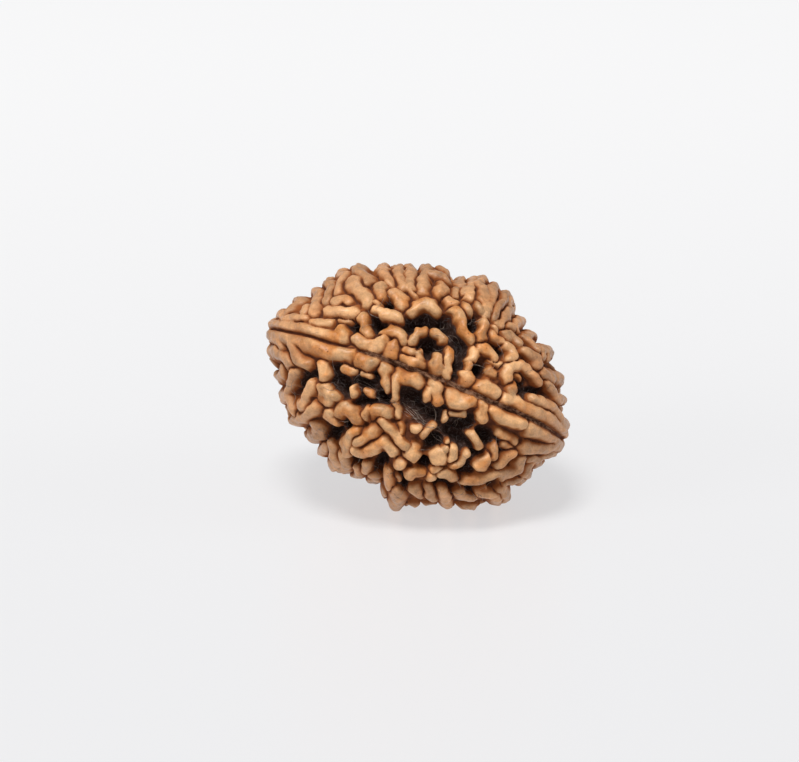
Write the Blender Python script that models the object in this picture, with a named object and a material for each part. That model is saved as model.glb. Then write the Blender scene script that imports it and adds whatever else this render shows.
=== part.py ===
"""A two-line rudraksha bead: a woody stone, lens-shaped, with knobbly ridges and a seam between paired lips.

The bead grew as one piece, so it is one solid. Its plain skin is a sphere reshaped to the bead's outline and
depth. Every crest on it is a chain of points with a radius, and a formula raises the skin along those chains
and lets it fall to the floor between them. Crests on the front pole are placed as they lie on the real bead.
The rest of the skin is filled by a seeded rule: short worms that run from pole to pole and keep apart.

Skin coordinates are in millimetres about the bead's centre: x to the right, y up the front face, z out of it.
The front face leans back by LEAN, so the finished bead lies on three low crests with the front pole raised.
"""

import math
import random
from collections import namedtuple

import bpy
import numpy as np
from mathutils import Matrix

NAME = "rudraksha_bead"
MM = 0.001

# Overall form
LEAN = math.radians(20.0)
HALF_DEPTH = 9.3
FULLNESS = 2.4
CENTRE_HEIGHT = 9.62
CENTRE_SHIFT = (-0.087, -0.015)
# Angle in degrees, counted from +x towards +y, and distance of the crest tops from the centre.
OUTLINE = [
    (0, 12.15), (5, 11.95), (12, 11.55), (16, 11.65), (22, 10.85), (28, 10.4), (33, 10.4), (38, 10.3),
    (45, 10.95), (52, 10.75), (58, 10.85), (64, 10.1), (70, 9.6), (78, 10.35), (88, 10.05), (98, 10.2),
    (105, 10.6), (110, 10.6), (116, 11.35), (124, 11.5), (132, 11.7), (138, 11.65), (145, 12.65),
    (152, 12.95), (158, 13.35), (163, 12.85), (168, 12.55), (174, 11.85), (180, 11.45), (186, 11.3),
    (194, 11.05), (199, 10.5), (204, 10.0), (212, 9.75), (222, 9.9), (232, 9.4), (240, 9.0), (247, 8.8),
    (253, 9.8), (258, 10.2), (264, 10.3), (270, 10.1), (280, 10.4), (290, 10.9), (300, 11.6),
    (308, 12.1), (314, 11.7), (322, 11.95), (330, 12.35), (336, 13.0), (342, 13.0), (348, 12.8),
    (354, 12.35),
]
OUTLINE_ROUNDING = (-2.0, -1.0, 0.0, 1.0, 2.0)
RIM_LIMIT = 0.997
# Furrows that cross the rim between its lobes: angle in degrees and depth
RIM_FURROWS = [
    (9, 0.18), (19, 0.21), (29, 0.18), (37, 0.27), (50.5, 0.3), (65, 0.21), (71.5, 0.36), (89.5, 0.3),
    (101, 0.21), (109.5, 0.33), (118, 0.18), (129, 0.27), (139, 0.21), (164, 0.21), (172.5, 0.24),
    (179, 0.15), (190, 0.18), (199.5, 0.3), (210, 0.3), (216, 0.18), (228, 0.21), (237, 0.21),
    (247, 0.3), (266, 0.3), (285, 0.21), (297, 0.18), (313, 0.3), (323, 0.18), (331, 0.18),
]
FURROW_WIDTH = 0.34
FURROW_FRONT = 2.6
FURROW_BACK = -4.6
FURROW_SWAY = 3.0

# Relief, measured down from the crest tops
POLE_PULL = 1.5
FLOOR_DEPTH = 0.8
HOLLOW_DEPTH = 1.15
FLOOR_ROUGHNESS = (0.9, 0.12)
CREST_DROOP = 1.0
# Where a crest's rounded top ends, for each unit of its radius: beside a hollow, and away from one
CREST_EDGE = (1.15, 1.6)
HOLLOW_EDGE = 0.35
CREST_POWER = 2.0
WALL_SLOPE = 1.6
WALL_CURVE = 8.0
CREASE_DEPTH = 0.22
CREASE_WIDTH = 0.15
CREASE_FADES = 0.3
CREASE_STARTS = (-0.04, -0.2)
SEAM_DEPTH = 0.55
SEAM_WIDTH = (0.13, 0.24)
SEAM_WIDENS = (-5.0, 1.0)
WARP = ((2.6, 0.16), (1.1, 0.09))
SKIN_BUMPS = ((1.7, 0.11), (0.7, 0.04))
CREST_SWELLING = (1.5, 0.20)
WAVE_COUNT = 14
WAVE_SPREAD = (0.7, 1.4)
FLOOR_SEED = 5
SWELLING_SEED = 6
BUMP_SEED = 31
CHAIN_STEP = 0.3
# Crests that end near the rim run on over it, down to this place behind it.
RIM_NEAR = 0.92
RUNS_ON_TO = -1.8
RUNS_ON_STEP = 0.6
NEAR_CHAIN = 3

# Worms on the skin that the hand-placed crests leave bare
WORM_SEED = 7
WORM_TRIES = 9000
WORM_RADII = (0.40, 0.62)
WORM_STEP = 0.42
WORM_LENGTHS = (0, 8)
WORM_GAP = 1.16
WORM_BEND = 0.34
WORM_STRAY = (0.35, 1.2)
WORM_TOP_DROP = 0.28
WORM_FRONT_LIMIT = 2.2

# Knobs that the bead lies on: place on the table from the centre, to the right and away from the front
FEET = [(-1.9, -2.7), (4.1, -2.5), (0.3, 3.2)]
FOOT_RADII = (0.85, 0.7, 0.7)
FOOT_REACH = 1.2
FOOT_CUT = 0.2
BELLY_PLACE = (1.6, 0.8)
BELLY_REACH = 4.5
BELLY_HOLLOW = 1.25

# Faces
BALL_SUBDIVISIONS = 7
FACES_WANTED = 11_600

SEAM_FRONT = [
    (-12.6, 5.0), (-11.0, 4.65), (-10.0, 4.45), (-9.0, 4.3), (-8.0, 4.0), (-7.0, 3.7), (-6.0, 3.4),
    (-5.0, 3.05), (-4.0, 2.8), (-3.0, 2.45), (-2.0, 2.05), (-1.0, 1.7), (0.0, 1.3), (1.0, 0.9), (2.0, 0.55),
    (3.0, 0.2), (4.0, -0.35), (5.0, -0.85), (6.0, -1.15), (7.0, -1.55), (8.0, -1.95), (9.0, -2.45),
    (10.0, -2.9), (11.0, -3.5), (12.4, -4.4),
]
SEAM_BACK = [(-12.6, 5.0), (-8.0, 3.0), (-4.0, 1.1), (0.0, -0.5), (4.0, -1.6), (8.0, -2.9), (12.4, -4.4)]

# Each crest is a radius, or its first and last radius, and its points.
LEFT_LIPS = [
    (0.50, [(-12.3, 5.3), (-11.0, 5.2), (-10.0, 5.0), (-9.0, 4.8), (-8.0, 4.5), (-7.0, 4.2), (-6.3, 4.0),
            (-6.0, 4.5), (-6.3, 4.8)]),
    (0.40, [(-11.0, 5.75), (-10.1, 5.75), (-9.2, 5.7)]),
    (0.30, [(-8.6, 5.5), (-7.9, 5.35), (-7.2, 5.3)]),
    ((0.55, 0.65), [(-12.3, 4.4), (-11.0, 4.1), (-10.0, 3.85), (-9.0, 3.55), (-8.0, 3.25), (-7.0, 2.95),
                    (-6.0, 2.75), (-5.6, 2.6)]),
    (0.45, [(-11.8, 4.0), (-11.3, 3.5)]),
]
RIGHT_LIPS = [
    (0.50, [(7.4, -0.95), (8.1, -1.0), (9.0, -1.6), (10.0, -2.1), (10.8, -2.4), (11.5, -2.9), (12.2, -3.7)]),
    (0.40, [(8.0, 0.0), (7.9, -0.6)]),
    (0.40, [(9.6, -0.95), (10.3, -1.2), (10.9, -1.6), (11.5, -1.9), (11.9, -2.5), (12.1, -3.1)]),
    ((0.30, 0.50), [(6.1, -1.8), (6.7, -2.2), (7.3, -2.6), (8.0, -2.9), (8.8, -3.1)]),
    ((0.50, 0.35), [(9.3, -3.4), (10.0, -3.75), (10.8, -4.15), (12.0, -4.7)]),
    (0.60, [(8.9, -5.1), (9.8, -5.3), (10.6, -5.2), (11.5, -4.95)]),
    (0.45, [(9.5, -6.0), (10.2, -6.0), (11.0, -5.6)]),
]
LEFT_SIDE = [
    (0.60, [(-10.4, 3.4), (-10.0, 2.6), (-9.3, 1.9)]),
    (0.60, [(-11.7, 3.0), (-11.3, 2.5), (-10.7, 1.9)]),
    (0.35, [(-11.3, 1.6), (-11.1, 0.8)]),
    (0.45, [(-10.3, 1.2), (-10.4, 0.6), (-10.7, 0.0), (-10.8, -0.6)]),
    (0.50, [(-10.8, -0.8), (-10.5, -1.6), (-10.3, -2.2)]),
    ((0.60, 0.50), [(-8.75, 0.2), (-8.9, -0.3), (-9.3, -0.9), (-9.7, -1.6)]),
    (0.50, [(-8.5, -1.7), (-9.0, -2.1), (-9.6, -2.6), (-10.0, -2.9)]),
    (0.55, [(-7.9, 1.6), (-7.7, 1.0)]),
    (0.60, [(-7.7, 0.0), (-7.6, -0.5), (-7.5, -1.1)]),
    (0.40, [(-7.5, -0.8), (-7.0, -0.8)]),
    (0.40, [(-5.4, -0.2), (-5.35, -0.5)]),
]
MIDDLE_BELOW_SEAM = [
    (0.65, [(-4.8, 2.25), (-4.2, 2.1), (-3.6, 1.95)]),
    (0.35, [(-2.55, 1.7), (-2.65, 1.1), (-2.75, 0.5), (-2.6, -0.1)]),
    ((0.45, 0.35), [(0.3, 0.1), (-0.3, 0.65), (-0.9, 0.95), (-1.4, 1.05), (-1.75, 0.6), (-1.8, 0.0),
                    (-1.75, -0.6)]),
    (0.55, [(1.4, 0.1), (1.6, -0.5), (1.65, -1.0)]),
    (0.40, [(1.1, -0.3), (0.9, -0.8)]),
    (0.60, [(2.9, -0.8), (3.2, -1.3), (3.8, -1.3), (4.5, -1.15)]),
    ((0.35, 0.40), [(5.4, -1.4), (5.4, -2.0), (5.3, -2.7)]),
]
MIDDLE_ABOVE_SEAM = [
    (0.55, [(-4.9, 4.0), (-4.2, 3.5), (-3.6, 3.25), (-3.1, 3.5), (-2.8, 3.8)]),
    (0.45, [(-4.5, 5.6), (-4.3, 4.9), (-4.0, 4.3)]),
    (0.55, [(-2.1, 3.5), (-2.15, 2.9), (-2.2, 2.5)]),
    (0.50, [(-2.6, 4.5), (-2.0, 4.6), (-1.5, 4.3), (-1.2, 3.8)]),
    (0.50, [(-1.1, 2.3), (-0.4, 2.15), (0.1, 2.0)]),
    (0.30, [(-1.0, 3.1), (-0.4, 2.95), (0.2, 2.8)]),
    (0.35, [(0.25, 2.8), (0.25, 2.3)]),
    (0.55, [(1.7, 2.3), (1.5, 1.8), (2.0, 1.3)]),
    (0.45, [(2.6, 2.9), (2.55, 2.2), (2.4, 1.5), (2.4, 1.0)]),
    (0.40, [(-0.5, 3.7), (-0.1, 4.2), (0.1, 4.6), (0.6, 4.6)]),
    (0.35, [(1.5, 4.55), (1.9, 4.35), (2.1, 4.0)]),
    (0.45, [(4.8, 2.9), (4.6, 2.4)]),
    (0.30, [(4.4, 2.0), (4.2, 1.5)]),
    (0.60, [(4.0, 1.0), (4.2, 0.8)]),
    (0.35, [(5.3, 3.1), (5.9, 3.0), (6.3, 2.7)]),
    (0.50, [(5.2, 0.1), (5.8, -0.1), (6.5, -0.45)]),
]
RIGHT_SIDE = [
    (0.35, [(3.2, 8.2), (3.3, 7.6)]),
    (0.40, [(3.6, 8.8), (3.6, 8.4)]),
    (0.30, [(4.0, 8.3), (4.0, 7.7)]),
    (0.42, [(4.5, 8.7), (4.4, 8.0), (4.4, 7.5)]),
    (0.32, [(4.0, 6.8), (4.2, 6.4)]),
    (0.60, [(5.1, 8.7), (5.6, 8.2), (5.7, 7.4), (5.7, 6.6), (5.6, 6.1)]),
    (0.30, [(5.1, 6.9), (5.3, 6.3)]),
    (0.40, [(6.2, 7.9), (6.15, 7.2), (6.0, 6.5)]),
    (0.45, [(5.5, 5.6), (5.5, 4.9), (5.3, 4.2)]),
    (0.45, [(7.3, 7.5), (7.1, 6.9), (6.7, 6.4), (6.5, 5.9)]),
    (0.40, [(7.7, 7.2), (7.7, 6.9)]),
    (0.45, [(7.6, 6.2), (7.3, 5.7), (6.8, 5.2)]),
    (0.42, [(8.4, 5.4), (8.3, 4.9)]),
    (0.30, [(7.7, 5.0), (8.0, 4.8)]),
    (0.25, [(6.4, 4.7)]),
    (0.35, [(6.3, 4.2), (6.9, 3.9)]),
    (0.40, [(7.2, 3.6), (7.6, 3.1), (7.9, 2.4)]),
    (0.42, [(7.3, 4.3), (7.9, 4.2), (8.4, 3.7)]),
    (0.45, [(9.0, 4.2), (9.4, 3.8), (9.8, 3.4)]),
    (0.50, [(8.9, 3.1), (9.3, 2.9), (9.8, 2.7), (10.0, 2.0)]),
    (0.45, [(10.4, 3.1), (10.5, 2.6)]),
    (0.30, [(10.9, 2.8), (10.9, 2.3)]),
    (0.38, [(7.6, 0.9), (7.7, 1.4), (8.1, 1.7), (8.7, 1.7), (9.3, 1.5), (9.8, 1.0), (10.2, 0.4)]),
    (0.50, [(10.4, 1.3), (10.9, 1.0), (11.3, 0.7)]),
    (0.30, [(10.9, 0.3), (11.3, -0.2), (11.5, -1.0)]),
]
TOP = [
    (0.50, [(-10.7, 6.2), (-10.2, 6.8), (-9.6, 7.2)]),
    (0.45, [(-9.3, 6.2), (-9.1, 6.7)]),
    (0.45, [(-8.5, 6.2), (-8.4, 7.0), (-8.2, 7.8)]),
    (0.45, [(-7.5, 7.1), (-7.4, 7.8), (-7.2, 8.5)]),
    (0.40, [(-6.6, 7.8), (-6.5, 8.6), (-6.0, 9.3)]),
    (0.40, [(-6.8, 7.1), (-6.2, 7.3), (-5.8, 7.1)]),
    (0.55, [(-7.3, 6.4), (-6.6, 6.3), (-5.9, 6.2), (-5.3, 6.1)]),
    ((0.75, 0.55), [(-5.4, 8.9), (-5.1, 8.2), (-4.6, 7.7), (-4.1, 7.4), (-4.0, 7.0)]),
    (0.65, [(-4.6, 9.5), (-4.2, 9.2), (-4.0, 8.8)]),
    (0.45, [(-3.05, 8.4), (-2.95, 7.9), (-2.9, 7.5)]),
    (0.55, [(-2.7, 9.6), (-2.5, 9.2), (-2.4, 8.8)]),
    (0.50, [(-2.1, 8.0), (-1.5, 7.4), (-1.1, 6.9)]),
    (0.20, [(-3.4, 7.0), (-3.1, 6.8)]),
    (0.30, [(-3.4, 6.4), (-3.0, 6.3)]),
    (0.50, [(-2.7, 6.1), (-2.2, 6.0), (-1.6, 5.7)]),
    (0.55, [(-1.5, 9.5), (-1.3, 8.9), (-1.1, 8.3)]),
    (0.50, [(-0.6, 9.5), (-0.5, 8.8), (-0.6, 8.1)]),
    (0.20, [(-0.6, 7.8), (-0.3, 7.4)]),
    (0.45, [(0.6, 9.3), (0.5, 8.6), (0.3, 7.9)]),
    (0.50, [(0.7, 9.5), (1.5, 9.5), (2.2, 9.3), (2.5, 8.9)]),
    (0.62, [(2.2, 8.4), (2.0, 8.0)]),
    (0.46, [(-0.3, 6.3), (0.1, 6.9), (0.7, 7.1), (1.2, 6.9), (1.7, 6.3)]),
    (0.45, [(2.7, 7.3), (3.0, 6.9)]),
    ((0.50, 0.30), [(3.3, 6.4), (3.6, 5.6), (4.0, 4.7), (4.5, 3.8)]),
]
LOWER_LEFT = [
    (0.40, [(-7.3, -2.1), (-7.4, -2.6), (-6.9, -3.0)]),
    (0.55, [(-6.6, -2.2), (-6.1, -1.9), (-5.5, -2.2), (-5.1, -2.6)]),
    (0.35, [(-4.3, -2.3), (-4.1, -1.9)]),
    (0.55, [(-3.5, -2.0), (-2.7, -1.9)]),
    (0.60, [(-8.4, -3.4), (-8.3, -4.1)]),
    (0.50, [(-7.6, -5.1)]),
    (0.55, [(-7.2, -4.9), (-7.0, -5.8), (-6.6, -6.4)]),
    (0.45, [(-5.1, -3.5), (-5.6, -3.9), (-5.9, -4.5), (-5.9, -5.2), (-5.9, -5.7)]),
    (0.50, [(-3.7, -3.6), (-4.3, -4.0), (-4.8, -4.4), (-5.1, -4.7)]),
    (0.45, [(-2.1, -5.2), (-2.8, -4.6), (-3.5, -4.9), (-4.1, -5.5), (-4.6, -5.6), (-5.2, -5.3)]),
    (0.50, [(-6.2, -5.8), (-6.0, -6.6)]),
    (0.40, [(-5.0, -6.8), (-4.9, -7.2)]),
    (0.40, [(-4.3, -6.5), (-4.2, -7.1)]),
    (0.40, [(-3.5, -7.4)]),
]
BOTTOM_MIDDLE = [
    ((0.22, 0.34), [(-3.0, -2.8), (-2.6, -3.2), (-2.1, -3.8), (-1.6, -4.4), (-1.0, -5.0)]),
    (0.80, [(-0.4, -5.5)]),
    (0.30, [(0.0, -3.5)]),
    (0.26, [(0.6, -4.0), (1.0, -3.5), (1.4, -3.2)]),
    (0.60, [(1.9, -5.5), (1.7, -6.1)]),
    (0.40, [(2.3, -5.1)]),
    (0.25, [(2.4, -4.5)]),
    (0.40, [(2.9, -5.2), (2.9, -5.8)]),
    (0.38, [(3.1, -6.5), (3.6, -6.4), (4.0, -6.0), (4.1, -5.7)]),
    (0.27, [(4.5, -4.0), (4.9, -4.6), (5.2, -5.0)]),
    (0.55, [(5.4, -6.5), (5.8, -6.1)]),
    (0.40, [(6.4, -5.7), (6.3, -5.1)]),
    (0.45, [(7.0, -6.4), (7.4, -6.0), (7.9, -5.6)]),
    (0.40, [(-1.5, -6.5)]),
    (0.42, [(-0.6, -7.3), (-0.2, -7.1), (0.3, -7.2)]),
    (0.48, [(1.1, -7.5)]),
    (0.25, [(1.3, -6.9), (1.7, -6.7)]),
    (0.45, [(8.6, -6.0), (8.5, -6.8), (8.0, -7.1), (7.0, -7.3), (6.0, -7.5), (5.0, -7.8), (4.2, -7.8)]),
    (0.35, [(3.2, -7.5), (2.6, -7.4), (2.0, -7.3)]),
    (0.35, [(9.7, -6.3), (9.3, -6.8), (9.0, -7.2)]),
    (0.30, [(8.6, -7.6), (8.0, -7.9), (7.4, -8.0)]),
]
BOTTOM_EDGE = [
    (0.55, [(-2.5, -7.2), (-2.4, -7.8), (-2.3, -8.4)]),
    (0.70, [(-1.7, -8.8), (-1.75, -9.4)]),
    (0.45, [(-0.2, -8.6), (0.2, -8.9)]),
    (0.45, [(1.0, -8.5), (1.2, -8.9), (1.3, -9.3)]),
    (0.45, [(2.2, -8.5), (2.3, -9.0), (2.4, -9.5)]),
    (0.60, [(3.3, -9.0), (3.8, -9.3), (4.4, -9.3)]),
    (0.40, [(5.0, -8.9), (5.5, -8.9), (6.3, -9.0)]),
    (0.60, [(7.1, -8.6), (7.2, -9.0)]),
]
HIGH_CRESTS = (
    LEFT_LIPS + RIGHT_LIPS + LEFT_SIDE + MIDDLE_BELOW_SEAM + MIDDLE_ABOVE_SEAM
    + RIGHT_SIDE + TOP + LOWER_LEFT + BOTTOM_MIDDLE + BOTTOM_EDGE
)
LOW_CRESTS = [
    (0.28, [(-4.4, -0.5), (-3.9, -0.6)]),
    (0.40, [(-6.3, 1.5), (-5.7, 1.4), (-5.2, 1.5)]),
    (0.30, [(-4.6, 1.2), (-3.9, 0.9)]),
    (0.35, [(3.0, -2.3), (3.8, -2.3)]),
    (0.25, [(2.5, -2.1), (2.4, -2.9)]),
    (0.25, [(6.1, 2.3), (6.9, 2.1), (7.4, 1.8)]),
    (0.40, [(6.0, 1.4), (6.6, 1.2)]),
    (0.40, [(6.9, -3.9), (7.6, -4.3), (8.5, -4.75)]),
    (0.30, [(8.3, 1.1), (8.6, 0.8)]),
    (0.30, [(-1.5, -3.3), (-1.5, -4.1)]),
    (0.30, [(-1.6, -7.6), (-1.5, -8.0)]),
    (0.35, [(-1.7, -1.1), (-1.6, -1.8), (-1.7, -2.5)]),
    (0.40, [(-7.1, 5.7), (-6.3, 5.5), (-5.6, 5.6)]),
    (0.40, [(7.2, -4.9), (8.0, -5.2)]),
]
LOW_CREST_DROP = 0.45

# Dark hollows: a radius and the points that it runs through
HOLLOWS = [
    (0.7, [(-3.4, 5.3)]),
    (0.8, [(-1.2, 5.3), (0.0, 5.4), (1.2, 5.6), (2.4, 5.3), (3.0, 4.6), (3.6, 3.8), (3.5, 2.8), (3.2, 1.6)]),
    (1.0, [(1.1, 3.4)]),
    (0.5, [(4.7, 5.8), (4.7, 5.0)]),
    (0.6, [(5.2, 1.5)]),
    (0.7, [(-6.9, 1.3), (-6.6, 0.5), (-6.3, -0.3)]),
    (0.8, [(-5.0, 0.6), (-4.2, 0.5), (-3.5, 0.9)]),
    (0.7, [(-4.8, -0.9), (-3.6, -0.8), (-2.4, -0.8)]),
    (1.1, [(-0.3, -0.7), (0.2, -1.2), (0.9, -2.0), (1.7, -2.4)]),
    (0.8, [(2.9, -3.6), (3.4, -4.6), (3.9, -5.2), (4.6, -5.6)]),
    (0.6, [(3.4, -3.3), (4.4, -2.9)]),
    (0.8, [(5.6, -4.2), (6.5, -4.6), (7.5, -5.0), (8.2, -5.3)]),
    (0.5, [(0.6, -6.3)]),
    (0.5, [(1.2, -4.6), (1.8, -4.4)]),
    (0.6, [(-7.2, -3.6), (-7.3, -4.2)]),
    (0.5, [(-3.1, -6.2), (-3.0, -6.8)]),
    (0.5, [(-5.2, -6.2)]),
    (0.5, [(-1.2, -7.6), (-1.2, -8.4)]),
    (0.5, [(1.6, -8.2), (2.6, -8.3)]),
    (0.5, [(8.8, 0.5)]),
    (0.6, [(9.2, -0.6), (10.5, -0.6)]),
    (0.6, [(-9.9, -0.2), (-9.5, 0.8), (-8.9, 1.2)]),
    (0.5, [(-6.5, 5.3), (-5.3, 4.9)]),
    (0.5, [(3.6, -6.9), (4.4, -6.8)]),
    (0.5, [(6.4, -8.1)]),
    (0.5, [(4.4, -8.7)]),
    (0.5, [(6.8, 3.2)]),
    (0.5, [(-5.9, -2.8), (-6.4, -3.1)]),
    (0.5, [(-2.5, 7.1)]),
]
BACK_HOLLOWS = [
    (1.0, [(-3.6, 2.6), (-2.0, 1.9)]),
    (0.9, [(-1.4, -2.0), (0.4, -2.4)]),
    (1.0, [(2.2, 0.9), (3.6, 0.6)]),
    (0.7, [(-5.4, 0.2)]),
    (0.8, [(4.8, -3.6)]),
]
BACK_LIP_RADIUS = 0.5
BACK_LIP_OFFSET = 0.68
BACK_LIP_STARTS = 6.0

Chain = namedtuple("Chain", "points radii lift")


def outline_radius(x, y):
    """Distance from the centre to the crest tops, in the direction of each x, y."""
    angles = [angle for angle, _ in OUTLINE]
    radii = [radius for _, radius in OUTLINE]
    degrees = np.degrees(np.arctan2(y, x))
    turns = [np.interp((degrees + turn) % 360, angles, radii, period=360) for turn in OUTLINE_ROUNDING]
    return np.mean(turns, axis=0)


def on_skin(directions):
    """The points of the plain skin in the given directions from the centre."""
    directions = directions / np.linalg.norm(directions, axis=1)[:, None]
    across = np.hypot(directions[:, 0], directions[:, 1]) / outline_radius(directions[:, 0], directions[:, 1])
    deep = np.abs(directions[:, 2]) / HALF_DEPTH
    return directions * ((across**FULLNESS + deep**FULLNESS) ** (-1 / FULLNESS))[:, None]


def lifted_to_skin(flat, side=1):
    """Points of the face seen from a pole, moved straight along that line of sight onto the skin."""
    flat = np.asarray(flat, float)
    reach = np.hypot(flat[:, 0], flat[:, 1]) / outline_radius(flat[:, 0], flat[:, 1])
    flat = flat * np.minimum(1, RIM_LIMIT / np.maximum(reach, RIM_LIMIT))[:, None]
    reach = np.minimum(reach, RIM_LIMIT)
    depth = HALF_DEPTH * (1 - reach**FULLNESS) ** (1 / FULLNESS)
    return np.column_stack([flat, side * depth])


def evenly_spaced(points, step):
    """The path through the points, with points added so that none is further than step from the next."""
    points = np.asarray(points, float)
    path = [points[:1]]
    for start, end in zip(points[:-1], points[1:]):
        count = max(1, math.ceil(np.linalg.norm(end - start) / step))
        shares = np.arange(1, count + 1)[:, None] / count
        path.append(start + (end - start) * shares)
    return np.concatenate(path)


def chain_on_face(radius, points, lift=0.0, side=1):
    """A crest given on the face seen from a pole, as a chain on the skin."""
    flat = evenly_spaced(points, CHAIN_STEP)
    first, last = radius if isinstance(radius, tuple) else (radius, radius)
    return Chain(lifted_to_skin(flat, side), np.linspace(first, last, len(flat)), lift)


def waves(points, length, seed):
    """Smooth noise of about -1 to 1 at each point: a sum of sines with seeded directions and phases."""
    draw = np.random.default_rng(seed)
    total = np.zeros(len(points))
    for _ in range(WAVE_COUNT):
        direction = draw.normal(size=3)
        direction *= 2 * math.pi * draw.uniform(*WAVE_SPREAD) / (length * np.linalg.norm(direction))
        total += np.sin(points @ direction + draw.uniform(0, 2 * math.pi))
    return total / math.sqrt(WAVE_COUNT / 2) / 2


def warped(points):
    """The points moved a little by noise, so that crests drawn from them waver."""
    moved = points.copy()
    for length, amount in WARP:
        for axis in range(3):
            moved[:, axis] += amount * waves(points, length, seed=round(100 * length) + axis)
    return moved


def away_from_chain(points, chain):
    """Distance of each point from the chain, and the chain's radius where it is nearest."""
    nearest = np.full(len(points), np.inf)
    radius = np.full(len(points), chain.radii[0])
    ends = zip(chain.points[:-1], chain.points[1:], chain.radii[:-1], chain.radii[1:])
    if len(chain.points) == 1:
        ends = [(chain.points[0], chain.points[0], chain.radii[0], chain.radii[0])]
    for start, end, first, last in ends:
        along = end - start
        share = np.clip((points - start) @ along / max(along @ along, 1e-9), 0, 1)
        distance = np.linalg.norm(points - start - share[:, None] * along, axis=1)
        closer = distance < nearest
        nearest[closer] = distance[closer]
        radius[closer] = (first + share * (last - first))[closer]
    return nearest, radius


def near_chain(points, chain, radii):
    """Indices of the points that may lie within so many of its own radii of a chain."""
    middle = chain.points.mean(axis=0)
    reach = np.linalg.norm(chain.points - middle, axis=1).max() + radii * chain.radii.max()
    return np.flatnonzero(((points - middle) ** 2).sum(axis=1) < reach**2)


def crest_height(distance, radius, edge):
    """Height of one crest, zero along its top: rounded as far as its edge, with ever steeper walls beyond."""
    rounded = -CREST_DROOP * radius * (np.minimum(distance, edge) / edge) ** CREST_POWER
    beyond = np.maximum(0, distance - edge)
    return rounded - WALL_SLOPE * beyond - WALL_CURVE * beyond**2


def run_over_rim(chain):
    """A crest of the front face, carried on over the rim where one of its ends lies near it."""
    reach = np.hypot(*chain.points[:, :2].T) / outline_radius(*chain.points[:, :2].T)
    if reach[0] > reach[-1]:
        chain = Chain(chain.points[::-1], chain.radii[::-1], chain.lift)
    if max(reach[0], reach[-1]) < RIM_NEAR:
        return chain
    x, y, depth = chain.points[-1]
    depths = np.arange(depth - RUNS_ON_STEP, RUNS_ON_TO, -RUNS_ON_STEP)
    rim = np.array([x, y]) * outline_radius(x, y) / math.hypot(x, y)
    beyond = on_skin(np.column_stack([np.tile(rim, (len(depths), 1)), depths]))
    radii = np.append(chain.radii, np.full(len(depths), chain.radii[-1]))
    return Chain(np.concatenate([chain.points, beyond]), radii, chain.lift)


def front_chains():
    """The crests placed by hand on the front face."""
    high = [run_over_rim(chain_on_face(radius, points)) for radius, points in HIGH_CRESTS]
    return high + [chain_on_face(radius, points, -LOW_CREST_DROP) for radius, points in LOW_CRESTS]


def foot_tops():
    """The points of the skin at the knobs that the bead lies on."""
    places = np.array(FEET)
    y = places[:, 1] * math.sin(LEAN) - CENTRE_HEIGHT * math.cos(LEAN)
    z = -places[:, 1] * math.cos(LEAN) - CENTRE_HEIGHT * math.sin(LEAN)
    return on_skin(np.column_stack([places[:, 0], y, z]))


def foot_chains():
    """The knobs that the bead lies on."""
    return [Chain(top[None], np.array([radius]), 0.0) for top, radius in zip(foot_tops(), FOOT_RADII)]


def back_lip_chains():
    """The paired lips beside the seam near both ends of the back face."""
    seam = evenly_spaced(SEAM_BACK, CHAIN_STEP)
    run = np.gradient(seam, axis=0)
    across = np.column_stack([-run[:, 1], run[:, 0]]) / np.linalg.norm(run, axis=1)[:, None]
    chains = []
    for end in (-1, 1):
        kept = end * seam[:, 0] > BACK_LIP_STARTS
        for side in (-1, 1):
            lip = seam[kept] + side * BACK_LIP_OFFSET * across[kept]
            chains.append(chain_on_face(BACK_LIP_RADIUS, lip, side=-1))
    return chains


def flow(point, draw):
    """A direction along the skin at a point, roughly from pole to pole, less so near the poles."""
    outward = point / np.linalg.norm(point)
    to_pole = np.array([0.0, 0.0, 1.0]) - outward * outward[2]
    sideways = np.cross(outward, to_pole)
    least, at_poles = WORM_STRAY
    turn = draw.gauss(0, least + at_poles * outward[2] ** 4)
    direction = to_pole * math.cos(turn) + sideways * math.sin(turn)
    return direction / np.linalg.norm(direction)


def grown(start, way, taken, steps, draw):
    """Points of a worm that creeps from start along the skin until it meets another or has its length."""
    path = [start]
    for _ in range(steps):
        outward = path[-1] / np.linalg.norm(path[-1])
        turn = draw.gauss(0, WORM_BEND)
        way = way * math.cos(turn) + np.cross(outward, way) * math.sin(turn)
        step = on_skin((path[-1] + WORM_STEP * way)[None])[0]
        if step[2] > WORM_FRONT_LIMIT or np.linalg.norm(taken - step, axis=1).min() < WORM_GAP:
            break
        way = (step - path[-1]) / np.linalg.norm(step - path[-1])
        path.append(step)
    return path


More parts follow.
